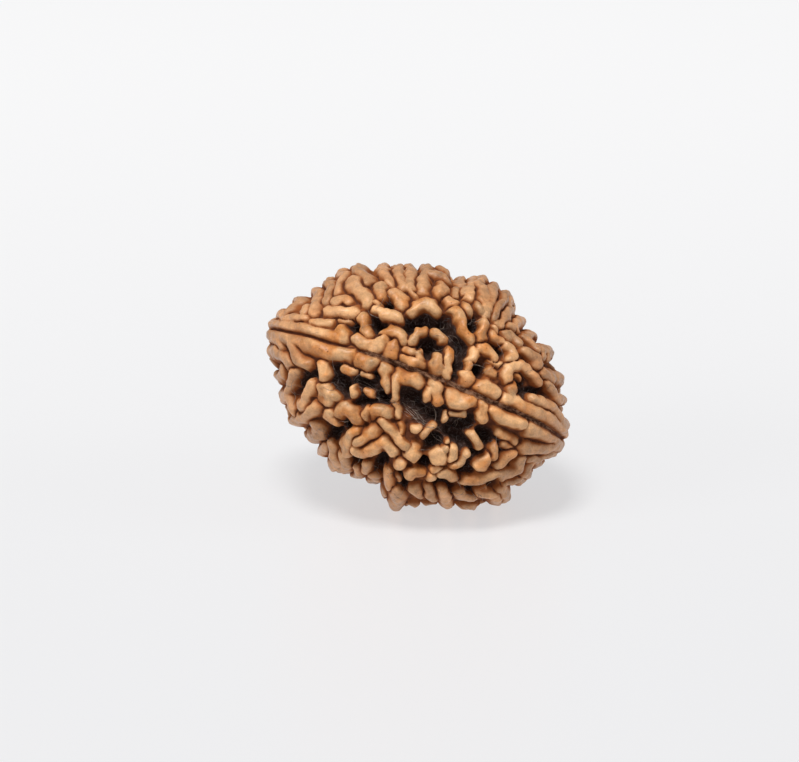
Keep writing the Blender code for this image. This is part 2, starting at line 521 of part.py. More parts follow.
def worm_chains(placed):
    """Worms that fill the skin left bare by the placed chains, each clear of the others."""
    draw = random.Random(WORM_SEED)
    seam = seam_chains()[1].points
    taken = np.concatenate([chain.points for chain in placed] + [seam])
    hollows = np.concatenate([chain.points for chain in hollow_chains()])
    chains = []
    for _ in range(WORM_TRIES):
        start = on_skin(np.array([[draw.gauss(0, 1) for _ in range(3)]]))[0]
        if start[2] > WORM_FRONT_LIMIT:
            continue
        if np.linalg.norm(taken - start, axis=1).min() < WORM_GAP:
            continue
        if np.linalg.norm(hollows - start, axis=1).min() < WORM_GAP:
            continue
        way = flow(start, draw)
        steps = draw.randint(*WORM_LENGTHS)
        ahead = grown(start, way, taken, steps, draw)
        behind = grown(start, -way, taken, steps, draw)
        points = np.array(behind[:0:-1] + ahead)
        first, last = draw.uniform(*WORM_RADII), draw.uniform(*WORM_RADII)
        lift = -draw.uniform(0, WORM_TOP_DROP)
        chains.append(Chain(points, np.linspace(first, last, len(points)), lift))
        taken = np.concatenate([taken, points])
    return chains


def seam_chains():
    """The seam line on the front and on the back, with its half width as radius."""
    chains = []
    for line, side in ((SEAM_FRONT, 1), (SEAM_BACK, -1)):
        flat = evenly_spaced(line, CHAIN_STEP)
        widths = np.interp(flat[:, 0], SEAM_WIDENS, SEAM_WIDTH)
        chains.append(Chain(lifted_to_skin(flat, side), widths, 0.0))
    return chains


def hollow_chains():
    """The dark hollows on the front and on the back."""
    front = [chain_on_face(radius, points) for radius, points in HOLLOWS]
    return front + [chain_on_face(radius, points, side=-1) for radius, points in BACK_HOLLOWS]


def closeness(points, chains):
    """How near each point lies to any of the chains, from 0 to 1."""
    closest = np.zeros(len(points))
    for chain in chains:
        near = near_chain(points, chain, NEAR_CHAIN)
        distance, radius = away_from_chain(points[near], chain)
        closest[near] = np.maximum(closest[near], np.exp(-((distance / radius) ** 2)))
    return closest


def furrow_depth(points):
    """Depth at each point of the furrows that cross the rim, swaying a little from a straight line."""
    deepest = np.zeros(len(points))
    depths = np.arange(FURROW_BACK, FURROW_FRONT, CHAIN_STEP)
    for angle, depth in RIM_FURROWS:
        turns = np.radians(angle + FURROW_SWAY * np.sin(depths + angle) * np.clip(-depths, 0, 1))
        rim = np.column_stack([np.cos(turns), np.sin(turns)])
        rim *= outline_radius(*rim.T)[:, None]
        line = on_skin(np.column_stack([rim, depths]))
        furrow = Chain(line, np.full(len(line), FURROW_WIDTH), 0.0)
        deepest = np.maximum(deepest, depth * closeness(points, [furrow]))
    return deepest


def on_table(points):
    """Places of skin points on the table, from the centre, and their heights above the centre."""
    back = points[:, 1] * math.sin(LEAN) - points[:, 2] * math.cos(LEAN)
    height = points[:, 1] * math.cos(LEAN) + points[:, 2] * math.sin(LEAN)
    return np.column_stack([points[:, 0], back]), height


def belly(place):
    """How far the skin draws in under the bead, between the knobs that touch the table."""
    return BELLY_HOLLOW * np.exp(-((place - BELLY_PLACE) ** 2).sum(axis=1) / BELLY_REACH**2)


def outward(points):
    """The direction in which the relief rises from the skin."""
    way = points * (1, 1, POLE_PULL)
    return way / np.linalg.norm(way, axis=1)[:, None]


def footing(points):
    """Height added under the bead: the middle draws in and three knobs swell down to the table."""
    place, height = on_table(points)
    added = -belly(place)
    tops = foot_tops()
    foot_places, foot_heights = on_table(tops)
    fall = on_table(outward(tops))[1]
    swell = (-CENTRE_HEIGHT - FOOT_CUT - foot_heights) / fall + belly(foot_places)
    for foot, amount in zip(foot_places, swell):
        added += amount * np.exp(-((place - foot) ** 2).sum(axis=1) / FOOT_REACH**2)
    return np.where(height < 0, added, 0.0)


def relief(points):
    """Height of the finished surface over each point of the plain skin, mostly negative."""
    moved = warped(points)
    length, amount = FLOOR_ROUGHNESS
    floor = amount * waves(points, length, FLOOR_SEED) - FLOOR_DEPTH
    hollow = closeness(moved, hollow_chains())
    floor -= HOLLOW_DEPTH * hollow
    narrow, wide = CREST_EDGE
    edge = wide + (narrow - wide) * np.minimum(1, hollow / HOLLOW_EDGE)
    length, amount = CREST_SWELLING
    swelling = 1 + amount * waves(points, length, SWELLING_SEED)
    first, second = floor.copy(), floor.copy()
    placed = front_chains() + foot_chains() + back_lip_chains()
    for chain in placed + worm_chains(placed):
        near = near_chain(moved, chain, NEAR_CHAIN)
        distance, radius = away_from_chain(moved[near], chain)
        radius *= swelling[near]
        height = crest_height(distance, radius, radius * edge[near]) + chain.lift
        second[near] = np.maximum(second[near], np.minimum(first[near], height))
        first[near] = np.maximum(first[near], height)
    meeting = np.exp(-(((first - second) / CREASE_WIDTH) ** 2))
    shallow, full = CREASE_STARTS
    meeting *= np.clip((second - floor) / CREASE_FADES, 0, 1)
    meeting *= np.clip((first - shallow) / (full - shallow), 0, 1)
    bumps = 0.0
    for number, (length, amount) in enumerate(SKIN_BUMPS):
        bumps = bumps + amount * waves(points, length, BUMP_SEED + number)
    lowered = first - CREASE_DEPTH * meeting - furrow_depth(moved) + bumps
    groove = np.minimum(lowered, -SEAM_DEPTH)
    return lowered + closeness(moved, seam_chains()) * (groove - lowered) + footing(points)


def collection_named(name):
    """A new collection in the scene."""
    made = bpy.data.collections.new(name)
    bpy.context.scene.collection.children.link(made)
    return made


def wood():
    """The tan, slightly waxy surface of the dried stone."""
    material = bpy.data.materials.new("rudraksha_wood")
    material.use_nodes = True
    shader = material.node_tree.nodes["Principled BSDF"]
    shader.inputs["Base Color"].default_value = (0.47, 0.24, 0.11, 1.0)
    shader.inputs["Roughness"].default_value = 0.55
    shader.inputs["Metallic"].default_value = 0.0
    return material


def carved_ball():
    """A fine ball whose vertices are moved onto the finished surface, in metres."""
    bpy.ops.mesh.primitive_ico_sphere_add(subdivisions=BALL_SUBDIVISIONS, radius=1.0)
    ball = bpy.context.object
    directions = np.empty(len(ball.data.vertices) * 3)
    ball.data.vertices.foreach_get("co", directions)
    skin = on_skin(directions.reshape(-1, 3))
    carved = skin + relief(skin)[:, None] * outward(skin)
    ball.data.vertices.foreach_set("co", (carved * MM).ravel())
    ball.data.update()
    return ball


def laid_on_table(obj):
    """Leans the front pole back and lifts the centre to its height over the table."""
    right_angle = math.pi / 2
    upright = Matrix.Rotation(right_angle - LEAN, 4, "X")
    x, y = CENTRE_SHIFT
    obj.data.transform(Matrix.Translation((x * MM, y * MM, CENTRE_HEIGHT * MM)) @ upright)


def table_cutter(collection):
    """A block whose top is the table, to cut the three low crests flat."""
    side = 60 * MM
    bpy.ops.mesh.primitive_cube_add(size=side, location=(0, 0, -side / 2))
    cutter = bpy.context.object
    cutter.name = "table_cutter"
    cutter.hide_render = True
    cutter.display_type = "WIRE"
    move_to(cutter, collection)
    return cutter


def move_to(obj, collection):
    """Leaves the object in this collection alone."""
    for other in list(obj.users_collection):
        other.objects.unlink(obj)
    collection.objects.link(obj)


def main():
    """Clears the scene and builds the bead."""
    for obj in list(bpy.data.objects):
        bpy.data.objects.remove(obj, do_unlink=True)
    parts = collection_named(NAME)
    cutters = collection_named("cutters")
    bead = carved_ball()
    bead.name = NAME
    bead.data.name = NAME
    laid_on_table(bead)
    move_to(bead, parts)
    bead.data.materials.append(wood())
    bead.data.shade_smooth()
    fewer = bead.modifiers.new("fewer_faces", "DECIMATE")
    fewer.ratio = FACES_WANTED / len(bead.data.polygons)
    flats = bead.modifiers.new("resting_flats", "BOOLEAN")
    flats.operation = "DIFFERENCE"
    flats.object = table_cutter(cutters)


main()
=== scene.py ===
"""The looks of a two-line rudraksha bead: finely ridged wood, dry fibres in its hollows and a plain studio.

The bead's form and crests repeat the construction's, in the same skin coordinates: millimetres about the
bead's centre, x to the right, y up the front face and z out of it. The fine surface adds undercut crest
sides, thin creases and small bumps, and hands the measures of its own relief to the material as attributes.
"""

import logging
import math
import random
from dataclasses import dataclass, field
from enum import Enum

import bpy
import numpy as np
from mathutils import Matrix, Vector
from mathutils.bvhtree import BVHTree


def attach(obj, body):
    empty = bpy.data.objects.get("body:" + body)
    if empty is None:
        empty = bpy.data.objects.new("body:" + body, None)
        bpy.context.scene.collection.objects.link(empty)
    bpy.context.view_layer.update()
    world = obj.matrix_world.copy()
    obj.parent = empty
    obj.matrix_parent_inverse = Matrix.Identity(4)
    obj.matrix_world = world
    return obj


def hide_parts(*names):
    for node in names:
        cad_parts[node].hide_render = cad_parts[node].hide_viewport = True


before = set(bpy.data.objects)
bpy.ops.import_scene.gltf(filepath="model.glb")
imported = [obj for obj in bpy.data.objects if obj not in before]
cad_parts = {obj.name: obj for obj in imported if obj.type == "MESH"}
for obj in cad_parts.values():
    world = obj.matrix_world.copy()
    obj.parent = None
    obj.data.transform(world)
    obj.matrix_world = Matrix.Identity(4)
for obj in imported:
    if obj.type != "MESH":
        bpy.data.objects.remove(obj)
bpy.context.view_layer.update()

log = logging.getLogger("rudraksha_bead")

NODE = "rudraksha_bead"
BODY = "root"
MM = 0.001
# Millimetres from the bead's middle that are well outside it
OUTSIDE = 30.0

# Angle in degrees, counted from +x towards +y, and distance of the crest tops from the centre.
OUTLINE = [
    (0, 12.15), (5, 11.95), (12, 11.55), (16, 11.65), (22, 10.85), (28, 10.4), (33, 10.4), (38, 10.3),
    (45, 10.95), (52, 10.75), (58, 10.85), (64, 10.1), (70, 9.6), (78, 10.35), (88, 10.05), (98, 10.2),
    (105, 10.6), (110, 10.6), (116, 11.35), (124, 11.5), (132, 11.7), (138, 11.65), (145, 12.65),
    (152, 12.95), (158, 13.35), (163, 12.85), (168, 12.55), (174, 11.85), (180, 11.45), (186, 11.3),
    (194, 11.05), (199, 10.5), (204, 10.0), (212, 9.75), (222, 9.9), (232, 9.4), (240, 9.0), (247, 8.8),
    (253, 9.8), (258, 10.2), (264, 10.3), (270, 10.1), (280, 10.4), (290, 10.9), (300, 11.6),
    (308, 12.1), (314, 11.7), (322, 11.95), (330, 12.35), (336, 13.0), (342, 13.0), (348, 12.8),
    (354, 12.35),
]
# Furrows that cross the rim between its lobes: angle in degrees and depth
RIM_FURROWS = [
    (9, 0.18), (19, 0.21), (29, 0.18), (37, 0.27), (50.5, 0.3), (65, 0.21), (71.5, 0.36), (89.5, 0.3),
    (101, 0.21), (109.5, 0.33), (118, 0.18), (129, 0.27), (139, 0.21), (164, 0.21), (172.5, 0.24),
    (179, 0.15), (190, 0.18), (199.5, 0.3), (210, 0.3), (216, 0.18), (228, 0.21), (237, 0.21),
    (247, 0.3), (266, 0.3), (285, 0.21), (297, 0.18), (313, 0.3), (323, 0.18), (331, 0.18),
]

# The seam's line as seen from the front pole, on the front face and on the back one
SEAM_FRONT = [
    (-12.6, 5.0), (-11.0, 4.65), (-10.0, 4.45), (-9.0, 4.3), (-8.0, 4.0), (-7.0, 3.7), (-6.0, 3.4),
    (-5.0, 3.05), (-4.0, 2.8), (-3.0, 2.45), (-2.0, 2.05), (-1.0, 1.7), (0.0, 1.3), (1.0, 0.9), (2.0, 0.55),
    (3.0, 0.2), (4.0, -0.35), (5.0, -0.85), (6.0, -1.15), (7.0, -1.55), (8.0, -1.95), (9.0, -2.45),
    (10.0, -2.9), (11.0, -3.5), (12.4, -4.4),
]
SEAM_BACK = [(-12.6, 5.0), (-8.0, 3.0), (-4.0, 1.1), (0.0, -0.5), (4.0, -1.6), (8.0, -2.9), (12.4, -4.4)]

# The front face's crests, part by part. Each is a radius, or its first and last radius, and its points.
LEFT_LIPS = [
    (0.50, [(-12.3, 5.3), (-11.0, 5.2), (-10.0, 5.0), (-9.0, 4.8), (-8.0, 4.5), (-7.0, 4.2), (-6.3, 4.0),
            (-6.0, 4.5), (-6.3, 4.8)]),
    (0.40, [(-11.0, 5.75), (-10.1, 5.75), (-9.2, 5.7)]),
    (0.30, [(-8.6, 5.5), (-7.9, 5.35), (-7.2, 5.3)]),
    ((0.55, 0.65), [(-12.3, 4.4), (-11.0, 4.1), (-10.0, 3.85), (-9.0, 3.55), (-8.0, 3.25), (-7.0, 2.95),
                    (-6.0, 2.75), (-5.6, 2.6)]),
    (0.45, [(-11.8, 4.0), (-11.3, 3.5)]),
]
RIGHT_LIPS = [
    (0.50, [(7.4, -0.95), (8.1, -1.0), (9.0, -1.6), (10.0, -2.1), (10.8, -2.4), (11.5, -2.9), (12.2, -3.7)]),
    (0.40, [(8.0, 0.0), (7.9, -0.6)]),
    (0.40, [(9.6, -0.95), (10.3, -1.2), (10.9, -1.6), (11.5, -1.9), (11.9, -2.5), (12.1, -3.1)]),
    ((0.30, 0.50), [(6.1, -1.8), (6.7, -2.2), (7.3, -2.6), (8.0, -2.9), (8.8, -3.1)]),
    ((0.50, 0.35), [(9.3, -3.4), (10.0, -3.75), (10.8, -4.15), (12.0, -4.7)]),
    (0.60, [(8.9, -5.1), (9.8, -5.3), (10.6, -5.2), (11.5, -4.95)]),
    (0.45, [(9.5, -6.0), (10.2, -6.0), (11.0, -5.6)]),
]
LEFT_SIDE = [
    (0.60, [(-10.4, 3.4), (-10.0, 2.6), (-9.3, 1.9)]),
    (0.60, [(-11.7, 3.0), (-11.3, 2.5), (-10.7, 1.9)]),
    (0.35, [(-11.3, 1.6), (-11.1, 0.8)]),
    (0.45, [(-10.3, 1.2), (-10.4, 0.6), (-10.7, 0.0), (-10.8, -0.6)]),
    (0.50, [(-10.8, -0.8), (-10.5, -1.6), (-10.3, -2.2)]),
    ((0.60, 0.50), [(-8.75, 0.2), (-8.9, -0.3), (-9.3, -0.9), (-9.7, -1.6)]),
    (0.50, [(-8.5, -1.7), (-9.0, -2.1), (-9.6, -2.6), (-10.0, -2.9)]),
    (0.55, [(-7.9, 1.6), (-7.7, 1.0)]),
    (0.60, [(-7.7, 0.0), (-7.6, -0.5), (-7.5, -1.1)]),
    (0.40, [(-7.5, -0.8), (-7.0, -0.8)]),
    (0.40, [(-5.4, -0.2), (-5.35, -0.5)]),
]
MIDDLE_BELOW_SEAM = [
    (0.65, [(-4.8, 2.25), (-4.2, 2.1), (-3.6, 1.95)]),
    (0.35, [(-2.55, 1.7), (-2.65, 1.1), (-2.75, 0.5), (-2.6, -0.1)]),
    ((0.45, 0.35), [(0.3, 0.1), (-0.3, 0.65), (-0.9, 0.95), (-1.4, 1.05), (-1.75, 0.6), (-1.8, 0.0),
                    (-1.75, -0.6)]),
    (0.55, [(1.4, 0.1), (1.6, -0.5), (1.65, -1.0)]),
    (0.40, [(1.1, -0.3), (0.9, -0.8)]),
    (0.60, [(2.9, -0.8), (3.2, -1.3), (3.8, -1.3), (4.5, -1.15)]),
    ((0.35, 0.40), [(5.4, -1.4), (5.4, -2.0), (5.3, -2.7)]),
]
MIDDLE_ABOVE_SEAM = [
    (0.55, [(-4.9, 4.0), (-4.2, 3.5), (-3.6, 3.25), (-3.1, 3.5), (-2.8, 3.8)]),
    (0.45, [(-4.5, 5.6), (-4.3, 4.9), (-4.0, 4.3)]),
    (0.55, [(-2.1, 3.5), (-2.15, 2.9), (-2.2, 2.5)]),
    (0.50, [(-2.6, 4.5), (-2.0, 4.6), (-1.5, 4.3), (-1.2, 3.8)]),
    (0.50, [(-1.1, 2.3), (-0.4, 2.15), (0.1, 2.0)]),
    (0.30, [(-1.0, 3.1), (-0.4, 2.95), (0.2, 2.8)]),
    (0.35, [(0.25, 2.8), (0.25, 2.3)]),
    (0.55, [(1.7, 2.3), (1.5, 1.8), (2.0, 1.3)]),
    (0.45, [(2.6, 2.9), (2.55, 2.2), (2.4, 1.5), (2.4, 1.0)]),
    (0.40, [(-0.5, 3.7), (-0.1, 4.2), (0.1, 4.6), (0.6, 4.6)]),
    (0.35, [(1.5, 4.55), (1.9, 4.35), (2.1, 4.0)]),
    (0.45, [(4.8, 2.9), (4.6, 2.4)]),
    (0.30, [(4.4, 2.0), (4.2, 1.5)]),
    (0.60, [(4.0, 1.0), (4.2, 0.8)]),
    (0.35, [(5.3, 3.1), (5.9, 3.0), (6.3, 2.7)]),
    (0.50, [(5.2, 0.1), (5.8, -0.1), (6.5, -0.45)]),
]
RIGHT_SIDE = [
    (0.35, [(3.2, 8.2), (3.3, 7.6)]),
    (0.40, [(3.6, 8.8), (3.6, 8.4)]),
    (0.30, [(4.0, 8.3), (4.0, 7.7)]),
    (0.42, [(4.5, 8.7), (4.4, 8.0), (4.4, 7.5)]),
    (0.32, [(4.0, 6.8), (4.2, 6.4)]),
    (0.60, [(5.1, 8.7), (5.6, 8.2), (5.7, 7.4), (5.7, 6.6), (5.6, 6.1)]),
    (0.30, [(5.1, 6.9), (5.3, 6.3)]),
    (0.40, [(6.2, 7.9), (6.15, 7.2), (6.0, 6.5)]),
    (0.45, [(5.5, 5.6), (5.5, 4.9), (5.3, 4.2)]),
    (0.45, [(7.3, 7.5), (7.1, 6.9), (6.7, 6.4), (6.5, 5.9)]),
    (0.40, [(7.7, 7.2), (7.7, 6.9)]),
    (0.45, [(7.6, 6.2), (7.3, 5.7), (6.8, 5.2)]),
    (0.42, [(8.4, 5.4), (8.3, 4.9)]),
    (0.30, [(7.7, 5.0), (8.0, 4.8)]),
    (0.25, [(6.4, 4.7)]),
    (0.35, [(6.3, 4.2), (6.9, 3.9)]),
    (0.40, [(7.2, 3.6), (7.6, 3.1), (7.9, 2.4)]),
    (0.42, [(7.3, 4.3), (7.9, 4.2), (8.4, 3.7)]),
    (0.45, [(9.0, 4.2), (9.4, 3.8), (9.8, 3.4)]),
    (0.50, [(8.9, 3.1), (9.3, 2.9), (9.8, 2.7), (10.0, 2.0)]),
    (0.45, [(10.4, 3.1), (10.5, 2.6)]),
    (0.30, [(10.9, 2.8), (10.9, 2.3)]),
    (0.38, [(7.6, 0.9), (7.7, 1.4), (8.1, 1.7), (8.7, 1.7), (9.3, 1.5), (9.8, 1.0), (10.2, 0.4)]),
    (0.50, [(10.4, 1.3), (10.9, 1.0), (11.3, 0.7)]),
    (0.30, [(10.9, 0.3), (11.3, -0.2), (11.5, -1.0)]),
]
TOP = [
    (0.50, [(-10.7, 6.2), (-10.2, 6.8), (-9.6, 7.2)]),
    (0.45, [(-9.3, 6.2), (-9.1, 6.7)]),
    (0.45, [(-8.5, 6.2), (-8.4, 7.0), (-8.2, 7.8)]),
    (0.45, [(-7.5, 7.1), (-7.4, 7.8), (-7.2, 8.5)]),
    (0.40, [(-6.6, 7.8), (-6.5, 8.6), (-6.0, 9.3)]),
    (0.40, [(-6.8, 7.1), (-6.2, 7.3), (-5.8, 7.1)]),
    (0.55, [(-7.3, 6.4), (-6.6, 6.3), (-5.9, 6.2), (-5.3, 6.1)]),
    ((0.75, 0.55), [(-5.4, 8.9), (-5.1, 8.2), (-4.6, 7.7), (-4.1, 7.4), (-4.0, 7.0)]),
    (0.65, [(-4.6, 9.5), (-4.2, 9.2), (-4.0, 8.8)]),
    (0.45, [(-3.05, 8.4), (-2.95, 7.9), (-2.9, 7.5)]),
    (0.55, [(-2.7, 9.6), (-2.5, 9.2), (-2.4, 8.8)]),
    (0.50, [(-2.1, 8.0), (-1.5, 7.4), (-1.1, 6.9)]),
    (0.20, [(-3.4, 7.0), (-3.1, 6.8)]),
    (0.30, [(-3.4, 6.4), (-3.0, 6.3)]),
    (0.50, [(-2.7, 6.1), (-2.2, 6.0), (-1.6, 5.7)]),
    (0.55, [(-1.5, 9.5), (-1.3, 8.9), (-1.1, 8.3)]),
    (0.50, [(-0.6, 9.5), (-0.5, 8.8), (-0.6, 8.1)]),
    (0.20, [(-0.6, 7.8), (-0.3, 7.4)]),
    (0.45, [(0.6, 9.3), (0.5, 8.6), (0.3, 7.9)]),
    (0.50, [(0.7, 9.5), (1.5, 9.5), (2.2, 9.3), (2.5, 8.9)]),
    (0.62, [(2.2, 8.4), (2.0, 8.0)]),
    (0.46, [(-0.3, 6.3), (0.1, 6.9), (0.7, 7.1), (1.2, 6.9), (1.7, 6.3)]),
    (0.45, [(2.7, 7.3), (3.0, 6.9)]),
    ((0.50, 0.30), [(3.3, 6.4), (3.6, 5.6), (4.0, 4.7), (4.5, 3.8)]),
]
LOWER_LEFT = [
    (0.40, [(-7.3, -2.1), (-7.4, -2.6), (-6.9, -3.0)]),
    (0.55, [(-6.6, -2.2), (-6.1, -1.9), (-5.5, -2.2), (-5.1, -2.6)]),
    (0.35, [(-4.3, -2.3), (-4.1, -1.9)]),
    (0.55, [(-3.5, -2.0), (-2.7, -1.9)]),
    (0.60, [(-8.4, -3.4), (-8.3, -4.1)]),
    (0.50, [(-7.6, -5.1)]),
    (0.55, [(-7.2, -4.9), (-7.0, -5.8), (-6.6, -6.4)]),
    (0.45, [(-5.1, -3.5), (-5.6, -3.9), (-5.9, -4.5), (-5.9, -5.2), (-5.9, -5.7)]),
    (0.50, [(-3.7, -3.6), (-4.3, -4.0), (-4.8, -4.4), (-5.1, -4.7)]),
    (0.45, [(-2.1, -5.2), (-2.8, -4.6), (-3.5, -4.9), (-4.1, -5.5), (-4.6, -5.6), (-5.2, -5.3)]),
    (0.50, [(-6.2, -5.8), (-6.0, -6.6)]),
    (0.40, [(-5.0, -6.8), (-4.9, -7.2)]),
    (0.40, [(-4.3, -6.5), (-4.2, -7.1)]),
    (0.40, [(-3.5, -7.4)]),
]
BOTTOM_MIDDLE = [
    ((0.22, 0.34), [(-3.0, -2.8), (-2.6, -3.2), (-2.1, -3.8), (-1.6, -4.4), (-1.0, -5.0)]),
    (0.80, [(-0.4, -5.5)]),
    (0.30, [(0.0, -3.5)]),
    (0.26, [(0.6, -4.0), (1.0, -3.5), (1.4, -3.2)]),
    (0.60, [(1.9, -5.5), (1.7, -6.1)]),
    (0.40, [(2.3, -5.1)]),
    (0.25, [(2.4, -4.5)]),
    (0.40, [(2.9, -5.2), (2.9, -5.8)]),
    (0.38, [(3.1, -6.5), (3.6, -6.4), (4.0, -6.0), (4.1, -5.7)]),
    (0.27, [(4.5, -4.0), (4.9, -4.6), (5.2, -5.0)]),
    (0.55, [(5.4, -6.5), (5.8, -6.1)]),
    (0.40, [(6.4, -5.7), (6.3, -5.1)]),
    (0.45, [(7.0, -6.4), (7.4, -6.0), (7.9, -5.6)]),
    (0.40, [(-1.5, -6.5)]),
    (0.42, [(-0.6, -7.3), (-0.2, -7.1), (0.3, -7.2)]),
    (0.48, [(1.1, -7.5)]),
    (0.25, [(1.3, -6.9), (1.7, -6.7)]),
    (0.45, [(8.6, -6.0), (8.5, -6.8), (8.0, -7.1), (7.0, -7.3), (6.0, -7.5), (5.0, -7.8), (4.2, -7.8)]),
    (0.35, [(3.2, -7.5), (2.6, -7.4), (2.0, -7.3)]),
    (0.35, [(9.7, -6.3), (9.3, -6.8), (9.0, -7.2)]),
    (0.30, [(8.6, -7.6), (8.0, -7.9), (7.4, -8.0)]),
]
BOTTOM_EDGE = [
    (0.55, [(-2.5, -7.2), (-2.4, -7.8), (-2.3, -8.4)]),
    (0.70, [(-1.7, -8.8), (-1.75, -9.4)]),
    (0.45, [(-0.2, -8.6), (0.2, -8.9)]),
    (0.45, [(1.0, -8.5), (1.2, -8.9), (1.3, -9.3)]),
    (0.45, [(2.2, -8.5), (2.3, -9.0), (2.4, -9.5)]),
    (0.60, [(3.3, -9.0), (3.8, -9.3), (4.4, -9.3)]),
    (0.40, [(5.0, -8.9), (5.5, -8.9), (6.3, -9.0)]),
    (0.60, [(7.1, -8.6), (7.2, -9.0)]),
]
# The crests that reach the skin, and those that stand lower in the hollows
HIGH_CRESTS = (
    LEFT_LIPS + RIGHT_LIPS + LEFT_SIDE + MIDDLE_BELOW_SEAM + MIDDLE_ABOVE_SEAM
    + RIGHT_SIDE + TOP + LOWER_LEFT + BOTTOM_MIDDLE + BOTTOM_EDGE
)
LOW_CRESTS = [
    (0.28, [(-4.4, -0.5), (-3.9, -0.6)]),
    (0.40, [(-6.3, 1.5), (-5.7, 1.4), (-5.2, 1.5)]),
    (0.30, [(-4.6, 1.2), (-3.9, 0.9)]),
    (0.35, [(3.0, -2.3), (3.8, -2.3)]),
    (0.25, [(2.5, -2.1), (2.4, -2.9)]),
    (0.25, [(6.1, 2.3), (6.9, 2.1), (7.4, 1.8)]),
    (0.40, [(6.0, 1.4), (6.6, 1.2)]),
    (0.40, [(6.9, -3.9), (7.6, -4.3), (8.5, -4.75)]),
    (0.30, [(8.3, 1.1), (8.6, 0.8)]),
    (0.30, [(-1.5, -3.3), (-1.5, -4.1)]),
    (0.30, [(-1.6, -7.6), (-1.5, -8.0)]),
    (0.35, [(-1.7, -1.1), (-1.6, -1.8), (-1.7, -2.5)]),
    (0.40, [(-7.1, 5.7), (-6.3, 5.5), (-5.6, 5.6)]),
    (0.40, [(7.2, -4.9), (8.0, -5.2)]),
]
LOW_CREST_DROP = 0.45

# Dark hollows of the front face and of the back one: a radius and the points that each runs through
HOLLOWS = [
    (0.7, [(-3.4, 5.3)]),
    (0.8, [(-1.2, 5.3), (0.0, 5.4), (1.2, 5.6), (2.4, 5.3), (3.0, 4.6), (3.6, 3.8), (3.5, 2.8), (3.2, 1.6)]),
    (1.0, [(1.1, 3.4)]),
    (0.5, [(4.7, 5.8), (4.7, 5.0)]),
    (0.6, [(5.2, 1.5)]),
    (0.7, [(-6.9, 1.3), (-6.6, 0.5), (-6.3, -0.3)]),
    (0.8, [(-5.0, 0.6), (-4.2, 0.5), (-3.5, 0.9)]),
    (0.7, [(-4.8, -0.9), (-3.6, -0.8), (-2.4, -0.8)]),
    (1.1, [(-0.3, -0.7), (0.2, -1.2), (0.9, -2.0), (1.7, -2.4)]),
    (0.8, [(2.9, -3.6), (3.4, -4.6), (3.9, -5.2), (4.6, -5.6)]),
    (0.6, [(3.4, -3.3), (4.4, -2.9)]),
    (0.8, [(5.6, -4.2), (6.5, -4.6), (7.5, -5.0), (8.2, -5.3)]),
    (0.5, [(0.6, -6.3)]),
    (0.5, [(1.2, -4.6), (1.8, -4.4)]),
    (0.6, [(-7.2, -3.6), (-7.3, -4.2)]),
    (0.5, [(-3.1, -6.2), (-3.0, -6.8)]),
    (0.5, [(-5.2, -6.2)]),
    (0.5, [(-1.2, -7.6), (-1.2, -8.4)]),
    (0.5, [(1.6, -8.2), (2.6, -8.3)]),
    (0.5, [(8.8, 0.5)]),
    (0.6, [(9.2, -0.6), (10.5, -0.6)]),
    (0.6, [(-9.9, -0.2), (-9.5, 0.8), (-8.9, 1.2)]),
    (0.5, [(-6.5, 5.3), (-5.3, 4.9)]),
    (0.5, [(3.6, -6.9), (4.4, -6.8)]),
    (0.5, [(6.4, -8.1)]),
    (0.5, [(4.4, -8.7)]),
    (0.5, [(6.8, 3.2)]),
    (0.5, [(-5.9, -2.8), (-6.4, -3.1)]),
    (0.5, [(-2.5, 7.1)]),
]
BACK_HOLLOWS = [
    (1.0, [(-3.6, 2.6), (-2.0, 1.9)]),
    (0.9, [(-1.4, -2.0), (0.4, -2.4)]),
    (1.0, [(2.2, 0.9), (3.6, 0.6)]),
    (0.7, [(-5.4, 0.2)]),
    (0.8, [(4.8, -3.6)]),
]


class Side(Enum):
    """The face of the bead on which a path lies."""

    FRONT = 1
    BACK = -1


@dataclass(frozen=True)
class Chain:
    """A crest, a hollow or the seam: points on the skin and the radius at each.

    Args:
        points: The points, one a row, in skin coordinates.
        radii: The radius at each point.
        lift: How far the whole chain stands above or below the usual crest tops.
    """

    points: np.ndarray
    radii: np.ndarray
    lift: float = 0.0

    def near(self, points: np.ndarray, radii: float = 3.0) -> np.ndarray:
        """Finds the points that may lie within so many of the chain's own radii of it.

        Args:
            points: Points in skin coordinates.
            radii: How many of its radii the chain reaches beyond its own points.

        Returns:
            The indices of those points.
        """
        middle = self.points.mean(axis=0)
        reach = np.linalg.norm(self.points - middle, axis=1).max() + radii * self.radii.max()
        return np.flatnonzero(((points - middle) ** 2).sum(axis=1) < reach**2)

    def nearest(self, points: np.ndarray) -> tuple[np.ndarray, np.ndarray, np.ndarray]:
        """Measures points against the chain.

        Args:
            points: Points in skin coordinates.

        Returns:
            Each point's distance, the chain's radius where it is nearest, and the nearest place itself.
        """
        best = np.full(len(points), np.inf)
        radius = np.full(len(points), self.radii[0])
        place = np.repeat(self.points[:1], len(points), axis=0)
        lasts = self.points[1:] if len(self.points) > 1 else self.points
        for start, end, first, last in zip(self.points, lasts, self.radii, np.append(self.radii[1:], 0.0)):
            along = end - start
            share = np.clip((points - start) @ along / max(along @ along, 1e-9), 0, 1)
            foot = start + share[:, None] * along
            distance = np.linalg.norm(points - foot, axis=1)
            closer = distance < best
            best[closer] = distance[closer]
            place[closer] = foot[closer]
            if along @ along > 0:
                radius[closer] = (first + share * (last - first))[closer]
        return best, radius, place


